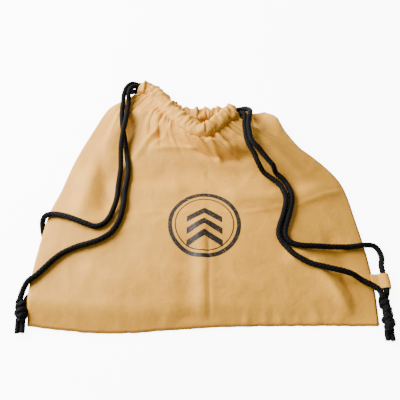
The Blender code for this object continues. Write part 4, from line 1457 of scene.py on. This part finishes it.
def emblem_mask(tree, where):
    """Return 1 where the printed emblem's ink is: two rings round three chevrons."""
    parts = tree.nodes.new("ShaderNodeSeparateXYZ")
    put(tree, parts.inputs[0], where)
    x = compute(tree, "SUBTRACT", parts.outputs[0], STAND.x + EMBLEM_ACROSS)
    y = compute(tree, "SUBTRACT", parts.outputs[1], STAND.y + EMBLEM_ALONG)
    squares = compute(tree, "MULTIPLY_ADD", x, x, compute(tree, "MULTIPLY", y, y))
    reach = compute(tree, "SQRT", squares)
    mask = 0.0
    for radius, breadth in EMBLEM_RINGS:
        ring = compute(tree, "COMPARE", reach, radius, breadth / 2)
        mask = compute(tree, "MAXIMUM", mask, ring)
    rise = compute(tree, "MULTIPLY_ADD", compute(tree, "ABSOLUTE", x), 0.62, y)
    inside = compute(tree, "LESS_THAN", compute(tree, "ABSOLUTE", x), CHEVRON_SPAN)
    for height in CHEVRON_HEIGHTS:
        band = compute(tree, "COMPARE", rise, height, CHEVRON_BREADTH / 2)
        mask = compute(tree, "MAXIMUM", mask, compute(tree, "MULTIPLY", band, inside))
    pinholes = compute(tree, "GREATER_THAN", grain(tree, where, 900.0, 1.0), 0.30)
    return compute(tree, "MULTIPLY", mask, pinholes)


def cloth_material(name, group, colour, shade, crinkle, printed=False, hollow=True):
    """Make a nylon cloth's material, darkened by painted shade in its hollows unless hollow is off;
    a printed one carries the emblem's black ink.
    """
    material, tree, shader = new_tree(name)
    coordinates = tree.nodes.new("ShaderNodeTexCoord")
    where = coordinates.outputs["UV"]
    depth = 0.0
    # Painted shade: the hollow attribute darkens the cloth where it lies lower than the cloth
    # around it
    if hollow:
        shade_node = tree.nodes.new("ShaderNodeAttribute")
        shade_node.attribute_name = "hollow"
        depth = shade_node.outputs["Fac"]
    cloth = place_group(
        tree,
        group,
        Vector=where,
        Colour=colour,
        Shade=shade,
        Hollow=depth,
        Thread_pitch=THREAD_PITCH,
        Crinkle=crinkle,
    )
    base, roughness = cloth.outputs["Colour"], cloth.outputs["Roughness"]
    if printed:
        ink = emblem_mask(tree, coordinates.outputs["Object"])
        base = blend_colours(tree, ink, base, INK_COLOUR)
        roughness = spread(tree, ink, 0.0, 1.0, roughness, 0.42)
    put(tree, shader.inputs["Base Color"], base)
    put(tree, shader.inputs["Roughness"], roughness)
    shader.inputs["Specular IOR Level"].default_value = 0.3
    add_bump(tree, shader, cloth.outputs["Height"], 0.0012)
    return material


def cord_material(name, group, colour, fibre):
    material, tree, shader = new_tree(name)
    coordinates = tree.nodes.new("ShaderNodeTexCoord")
    braid = place_group(
        tree,
        group,
        Vector=coordinates.outputs["UV"],
        Strands=float(BRAID_STRANDS),
        Pitch=BRAID_PITCH,
    )
    dust = grain(tree, coordinates.outputs["Object"], 240.0, 2.0)
    light = compute(tree, "MULTIPLY", braid.outputs["Mask"], spread(tree, dust, 0.3, 0.7, 0.3, 1.0))
    put(tree, shader.inputs["Base Color"], blend_colours(tree, light, colour, fibre))
    put(tree, shader.inputs["Roughness"], spread(tree, braid.outputs["Mask"], 0.0, 1.0, 0.85, 0.62))
    shader.inputs["Specular IOR Level"].default_value = 0.12
    add_bump(tree, shader, braid.outputs["Height"], 0.0004)
    return material


def thread_material(name, colour):
    material, tree, shader = new_tree(name)
    coordinates = tree.nodes.new("ShaderNodeTexCoord")
    twist = grain(tree, coordinates.outputs["Object"], 1600.0, 1.0)
    dark = tuple(channel * 0.72 for channel in colour[:3]) + (1.0,)
    base = blend_colours(tree, spread(tree, twist, 0.35, 0.65), colour, dark)
    put(tree, shader.inputs["Base Color"], base)
    put(tree, shader.inputs["Roughness"], spread(tree, twist, 0.3, 0.7, 0.45, 0.6))
    add_bump(tree, shader, twist, 0.0001)
    return material


def paint_shade_in_hollows(piece, reach):
    """Write how far each point lies below the cloth around it, for painted shade that darkens the
    cloth in its hollows.
    """
    shape = bmesh.new()
    shape.from_mesh(piece.data)
    shape.verts.ensure_lookup_table()
    heights = [vert.co.z for vert in shape.verts]
    around = list(heights)
    beside = [
        [edge.other_vert(vert).index for edge in vert.link_edges] for vert in shape.verts
    ]
    for _ in range(reach):
        around = [
            (around[index] + sum(around[other] for other in others)) / (1 + len(others))
            for index, others in enumerate(beside)
        ]
    shape.free()
    # Painted shade: depth below the cloth around, as a darker tone in the hollows
    layer = piece.data.attributes.new("hollow", "FLOAT", "POINT")
    values = [
        min(max((mean - height) * HOLLOW_SHADE, -0.12), 0.5)
        for mean, height in zip(around, heights)
    ]
    layer.data.foreach_set("value", values)


class BagClothSettings(bpy.types.PropertyGroup):
    """Sizes and colours of the bag's cloth"""

    colour: bpy.props.FloatVectorProperty(
        name="Cloth colour",
        description="Colour of the nylon where the light falls on it",
        subtype="COLOR",
        size=4,
        min=0.0,
        max=1.0,
        default=(0.80, 0.385, 0.036, 1.0),
    )
    # Painted shade and random tone: this colour is mixed in by the cloth's random mottling and
    # between its threads, and as painted shade in its hollows
    shade: bpy.props.FloatVectorProperty(
        name="Shaded cloth colour",
        description="Deeper colour of the nylon in its hollows and between its threads",
        subtype="COLOR",
        size=4,
        min=0.0,
        max=1.0,
        default=(0.52, 0.21, 0.016, 1.0),
    )
    wrinkle_depth: bpy.props.FloatProperty(
        name="Wrinkle depth",
        description="How deep the creases, pleats and crumples are, against the real ones",
        default=1.0,
        min=0.0,
        max=1.5,
        subtype="FACTOR",
    )


class BagCordSettings(bpy.types.PropertyGroup):
    """Colours of the cords and of the sewing thread"""

    colour: bpy.props.FloatVectorProperty(
        name="Cord colour",
        description="Colour of the braid between its strands",
        subtype="COLOR",
        size=4,
        min=0.0,
        max=1.0,
        default=(0.0012, 0.0012, 0.0014, 1.0),
    )
    fibre: bpy.props.FloatVectorProperty(
        name="Cord fibre colour",
        description="Colour of the strands on top of the braid",
        subtype="COLOR",
        size=4,
        min=0.0,
        max=1.0,
        default=(0.0075, 0.0075, 0.0085, 1.0),
    )
    thread: bpy.props.FloatVectorProperty(
        name="Thread colour",
        description="Colour of the sewing thread",
        subtype="COLOR",
        size=4,
        min=0.0,
        max=1.0,
        default=(0.74, 0.42, 0.11, 1.0),
    )


class BagStageSettings(bpy.types.PropertyGroup):
    """The floor and the light round the bag"""

    key_power: bpy.props.FloatProperty(
        name="Key light",
        description="Power of the large soft light at the left",
        default=116.0,
        min=0.0,
        unit="POWER",
    )
    surround: bpy.props.FloatProperty(
        name="Surrounding light",
        description="Strength of the even light from all round",
        default=0.32,
        min=0.0,
    )
    floor_glow: bpy.props.FloatProperty(
        name="Floor glow",
        description="How far the pale floor is burnt out to white behind the bag",
        default=8.0,
        min=0.0,
    )
    floor_bounce: bpy.props.FloatProperty(
        name="Floor bounce",
        description="Light that the pale floor throws back on the bag's edges",
        default=0.5,
        min=0.0,
    )
    floor_size: bpy.props.FloatProperty(
        name="Floor size",
        description="Length of the floor's sides",
        default=8.0,
        min=1.0,
        subtype="DISTANCE",
        unit="LENGTH",
    )


def aim(thing, target):
    thing.rotation_euler = (target - thing.location).to_track_quat("-Z", "Y").to_euler()


class HELMETBAG_OT_stage(bpy.types.Operator):
    """Set up the camera, the pale floor and the soft light"""

    bl_idname = "helmetbag.stage"
    bl_label = "Stage"

    def execute(self, context):
        scene = context.scene
        stage = scene.bag_stage
        camera = bpy.data.objects.new("camera", bpy.data.cameras.new("camera"))
        scene.collection.objects.link(camera)
        camera.data.sensor_width = CAMERA_SENSOR
        camera.data.lens = CAMERA_LENS
        camera.data.clip_start = 0.01
        camera.location = (STAND.x, STAND.y - CAMERA_BACK, CAMERA_HEIGHT)
        camera.rotation_euler = (math.pi / 2 - CAMERA_PITCH, 0.0, 0.0)
        scene.camera = camera

        shape = bmesh.new()
        bmesh.ops.create_grid(shape, x_segments=8, y_segments=8, size=stage.floor_size / 2)
        for vert in shape.verts:
            vert.co.z = -FLOOR_DROP
        floor = bpy.data.objects.new("floor", mesh_from(shape, "floor"))
        scene.collection.objects.link(floor)
        material, tree, shader = new_tree("pale floor")
        coordinates = tree.nodes.new("ShaderNodeTexCoord")
        soft = grain(tree, coordinates.outputs["Object"], 6.0, 2.0)
        tone = blend_colours(tree, soft, (0.93, 0.93, 0.92, 1.0), (0.96, 0.96, 0.95, 1.0))
        put(tree, shader.inputs["Base Color"], tone)
        shader.inputs["Roughness"].default_value = 0.7
        shader.inputs["Emission Color"].default_value = (1.0, 1.0, 1.0, 1.0)
        path = tree.nodes.new("ShaderNodeLightPath")
        seen = path.outputs["Is Camera Ray"]
        glow = compute(tree, "MULTIPLY_ADD", seen, stage.floor_glow, stage.floor_bounce)
        put(tree, shader.inputs["Emission Strength"], glow)
        floor.data.materials.append(material)

        key = bpy.data.objects.new("key light", bpy.data.lights.new("key light", "AREA"))
        scene.collection.objects.link(key)
        key.data.energy = stage.key_power
        key.data.shape = "RECTANGLE"
        key.data.size = KEY_SIDE
        key.data.size_y = KEY_SIDE
        key.data.color = (1.0, 0.985, 0.96)
        key.location = KEY_PLACE
        aim(key, Vector((0.0, 0.0, 0.0)))

        world = bpy.data.worlds.new("surround")
        world.use_nodes = True
        background = world.node_tree.nodes["Background"]
        background.inputs["Color"].default_value = (1.0, 1.0, 0.99, 1.0)
        background.inputs["Strength"].default_value = stage.surround
        scene.world = world
        return {"FINISHED"}


def material_named(name, make):
    """Return the material of that name, made the first time that it is asked for."""
    return bpy.data.materials.get(name) or make(name)


def group_named(name, make):
    return bpy.data.node_groups.get(name) or make()


def bag_cloth_named(name, crinkle, printed=False, hollow=True):
    settings = bpy.context.scene.bag_cloth
    group = group_named("Woven nylon", woven_cloth_group)
    return material_named(
        name,
        lambda label: cloth_material(
            label, group, tuple(settings.colour), tuple(settings.shade), crinkle, printed, hollow
        ),
    )


def black_cord():
    settings = bpy.context.scene.bag_cord
    group = group_named("Braided cord", braid_group)
    return material_named(
        "braided black cord",
        lambda label: cord_material(label, group, tuple(settings.colour), tuple(settings.fibre)),
    )


class HELMETBAG_OT_panels(bpy.types.Operator):
    """Make the front and back panels with their folds and creases"""

    bl_idname = "helmetbag.panels"
    bl_label = "Cloth panels"

    def execute(self, context):
        rows = spread_shares(PANEL_ROWS)
        columns = ruffle_shares(FRONT_RUFFLES, PANEL_STEPS_PER_RUFFLE)
        front = make_panel(
            "bag_front",
            "front_panel",
            front_places(columns, rows),
            columns,
            rows,
            1,
            bag_cloth_named("printed nylon", 0.8, printed=True),
        )
        # Painted shade: a darker tone in the panels' hollows, from how far each point lies below
        # the cloth around it
        paint_shade_in_hollows(front, 12)
        columns = ruffle_shares(BACK_RUFFLES, PANEL_STEPS_PER_RUFFLE)
        back = make_panel(
            "bag_back",
            "back_panel",
            back_places(columns, rows),
            columns,
            rows,
            -1,
            bag_cloth_named("plain nylon", 0.8),
        )
        paint_shade_in_hollows(back, 12)
        return {"FINISHED"}


class HELMETBAG_OT_mouth(bpy.types.Operator):
    """Make the two gathered casings round the mouth"""

    bl_idname = "helmetbag.mouth"
    bl_label = "Gathered mouth"

    def execute(self, context):
        cloth = bag_cloth_named("gathered nylon", 1.1)
        for name, node, stations, ruffles, seed in (
            ("mouth_front", "front_casing", FRONT_MOUTH, FRONT_RUFFLES, 2.0),
            ("mouth_back", "back_casing", BACK_MOUTH, BACK_RUFFLES, 31.0),
        ):
            casing = make_casing(name, node, stations, ruffles, seed, cloth)
            # Painted shade: a darker tone in the casing's hollows
            paint_shade_in_hollows(casing, 4)
        return {"FINISHED"}


class HELMETBAG_OT_tabs(bpy.types.Operator):
    """Make the two ribbon loops at the lower corners"""

    bl_idname = "helmetbag.tabs"
    bl_label = "Cord tabs"

    def execute(self, context):
        ribbon = bag_cloth_named("tab ribbon", 0.3, hollow=False)
        make_tab(
            "tab_at_left", "left_tab", LEFT_SEAM, LEFT_TAB_FROM_BOTTOM, 0.0, 1.0, ribbon
        )
        make_tab(
            "tab_at_right", "right_tab", RIGHT_SEAM, RIGHT_TAB_FROM_BOTTOM, CLEARANCE, 2.0, ribbon
        )
        return {"FINISHED"}


class HELMETBAG_OT_cords(bpy.types.Operator):
    """Lay the two drawcords with their free strands and knots"""

    bl_idname = "helmetbag.cords"
    bl_label = "Cords and knots"

    def execute(self, context):
        cord = black_cord()
        context.view_layer.update()
        beds = ("bag_front", "bag_back", "mouth_front", "mouth_back", "tab_at_left", "tab_at_right")
        trees = [tree_of(bpy.data.objects[name]) for name in beds]
        left = drawcord_points(LANE, -LANE, 1.0, LEFT_CORD_TURN)
        make_cord("drawcord_left", left, "left_drawcord", cord)
        right = drawcord_points(-LANE, LANE, 0.0, RIGHT_CORD_TURN)
        make_cord("drawcord_right", right, "right_drawcord", cord)
        knots = {
            "left": make_knot("knot_left", "left_knot", LEFT_KNOT, ROUND_WRAPS, 0.42, cord),
            "right": make_knot("knot_right", "right_knot", RIGHT_KNOT, LONG_WRAPS, 0.62, cord),
        }
        for name, node, side, stations, share, lane, route, knot, knot_side in (
            ("strand_left_inner", "left_cord_inner", "left", BACK_MOUTH, 0.0, -LANE,
             LEFT_INNER_ROUTE, LEFT_KNOT, 1),
            ("strand_left_outer", "left_cord_outer", "left", FRONT_MOUTH, 0.0, LANE,
             LEFT_OUTER_ROUTE, LEFT_KNOT, -1),
            ("strand_right_inner", "right_cord_inner", "right", FRONT_MOUTH, 1.0, -LANE,
             RIGHT_INNER_ROUTE, RIGHT_KNOT, 1),
            ("strand_right_outer", "right_cord_outer", "right", BACK_MOUTH, 1.0, LANE,
             RIGHT_OUTER_ROUTE, RIGHT_KNOT, -1),
        ):
            casing_end = casing_exit(stations, share, lane)
            points = strand_points(casing_end, route, knot, knot_side, trees)
            strand = make_cord(name, points, node, cord)
            tuple(points[0])
            round(run_lengths(points)[-1], 3)
            [tuple(point) for point in points]
            context.view_layer.update()
            trees.append(tree_of(strand))
        return {"FINISHED"}


class HELMETBAG_OT_sewing(bpy.types.Operator):
    """Sew the edge seam, the casing's stitch rows and the tabs' stitches"""

    bl_idname = "helmetbag.sewing"
    bl_label = "Seams and stitches"

    def execute(self, context):
        make_seam(bag_cloth_named("plain nylon", 0.8))
        thread = material_named(
            "sewing thread",
            lambda label: thread_material(label, tuple(context.scene.bag_cord.thread)),
        )
        front = tree_of(bpy.data.objects["bag_front"])
        mouth = tree_of(bpy.data.objects["mouth_front"])
        back = tree_of(bpy.data.objects["mouth_back"])
        for name, slot, lines, trees in (
            ("stitches_front", "bag_cloth", front_stitch_lines(), [front, mouth]),
            ("stitches_back", "casing_cloth", hem_stitch_lines(BACK_MOUTH), [back]),
            ("stitches_tabs", "tab_ribbon", tab_stitch_lines(),
             [tree_of(bpy.data.objects[tab]) for tab in ("tab_at_left", "tab_at_right")]),
        ):
            shape = bmesh.new()
            for line in lines:
                stitch_row(shape, line, trees)
            finish_piece(name, shape, slot, thread)
        return {"FINISHED"}


def hem_stitch_lines(stations):
    """Return the stitch lines across a casing's two hems."""
    curve = table_curve(stations)
    reach = CASING_WIDTH / 2
    lines = []
    for share in HEM_SHARES:
        _, free, _ = mouth_frame(curve, share)
        middle = curve(share)
        lines.append([middle - free * reach * 0.9, middle, middle + free * reach])
    return lines


def front_stitch_lines():
    """Return the stitch lines of the front: below the casing and across its two hems."""
    curve = table_curve(FRONT_MOUTH)
    line = []
    for share in spread_shares(60):
        _, free, _ = mouth_frame(curve, share)
        line.append(curve(share) - free * (CASING_WIDTH / 2 + 0.0024))
    return [line] + hem_stitch_lines(FRONT_MOUTH)


def tab_stitch_lines():
    """Return two rows across each tab, close to its seam."""
    lines = []
    for stations, from_bottom, gap in (
        (LEFT_SEAM, LEFT_TAB_FROM_BOTTOM, 0.0),
        (RIGHT_SEAM, RIGHT_TAB_FROM_BOTTOM, CLEARANCE),
    ):
        seam = table_curve(stations)(from_bottom / PANEL_HEIGHT).x + gap
        for reach in (0.0022, 0.0042):
            ends = [
                Vector((seam + reach, STAND.y + from_bottom + side * TAB_LENGTH * 0.42, 0.0))
                for side in (-1, 0, 1)
            ]
            lines.append(ends)
    return lines


class HELMETBAG_PT_panel(bpy.types.Panel):
    """Sizes, colours and steps of the helmet bag"""

    bl_idname = "HELMETBAG_PT_panel"
    bl_label = "Helmet bag"
    bl_space_type = "VIEW_3D"
    bl_region_type = "UI"
    bl_category = "Helmet bag"

    def draw(self, context):
        scene = context.scene
        for settings in (scene.bag_cloth, scene.bag_cord, scene.bag_stage):
            box = self.layout.box()
            for label in settings.__annotations__:
                box.prop(settings, label)
        for step in STEPS:
            self.layout.operator(step.bl_idname)


STEPS = (
    HELMETBAG_OT_stage,
    HELMETBAG_OT_panels,
    HELMETBAG_OT_mouth,
    HELMETBAG_OT_tabs,
    HELMETBAG_OT_cords,
    HELMETBAG_OT_sewing,
)
SETTINGS = (BagClothSettings, BagCordSettings, BagStageSettings)


def register():
    for settings in SETTINGS:
        bpy.utils.register_class(settings)
    for step in STEPS:
        bpy.utils.register_class(step)
    bpy.utils.register_class(HELMETBAG_PT_panel)
    bpy.types.Scene.bag_cloth = bpy.props.PointerProperty(type=BagClothSettings)
    bpy.types.Scene.bag_cord = bpy.props.PointerProperty(type=BagCordSettings)
    bpy.types.Scene.bag_stage = bpy.props.PointerProperty(type=BagStageSettings)


def unregister():
    del bpy.types.Scene.bag_stage
    del bpy.types.Scene.bag_cord
    del bpy.types.Scene.bag_cloth
    bpy.utils.unregister_class(HELMETBAG_PT_panel)
    for step in reversed(STEPS):
        bpy.utils.unregister_class(step)
    for settings in reversed(SETTINGS):
        bpy.utils.unregister_class(settings)


def main():
    register()
    bpy.ops.helmetbag.stage()
    bpy.ops.helmetbag.panels()
    bpy.ops.helmetbag.mouth()
    bpy.ops.helmetbag.tabs()
    bpy.ops.helmetbag.cords()
    bpy.ops.helmetbag.sewing()


if __name__ == "__main__":
    main()
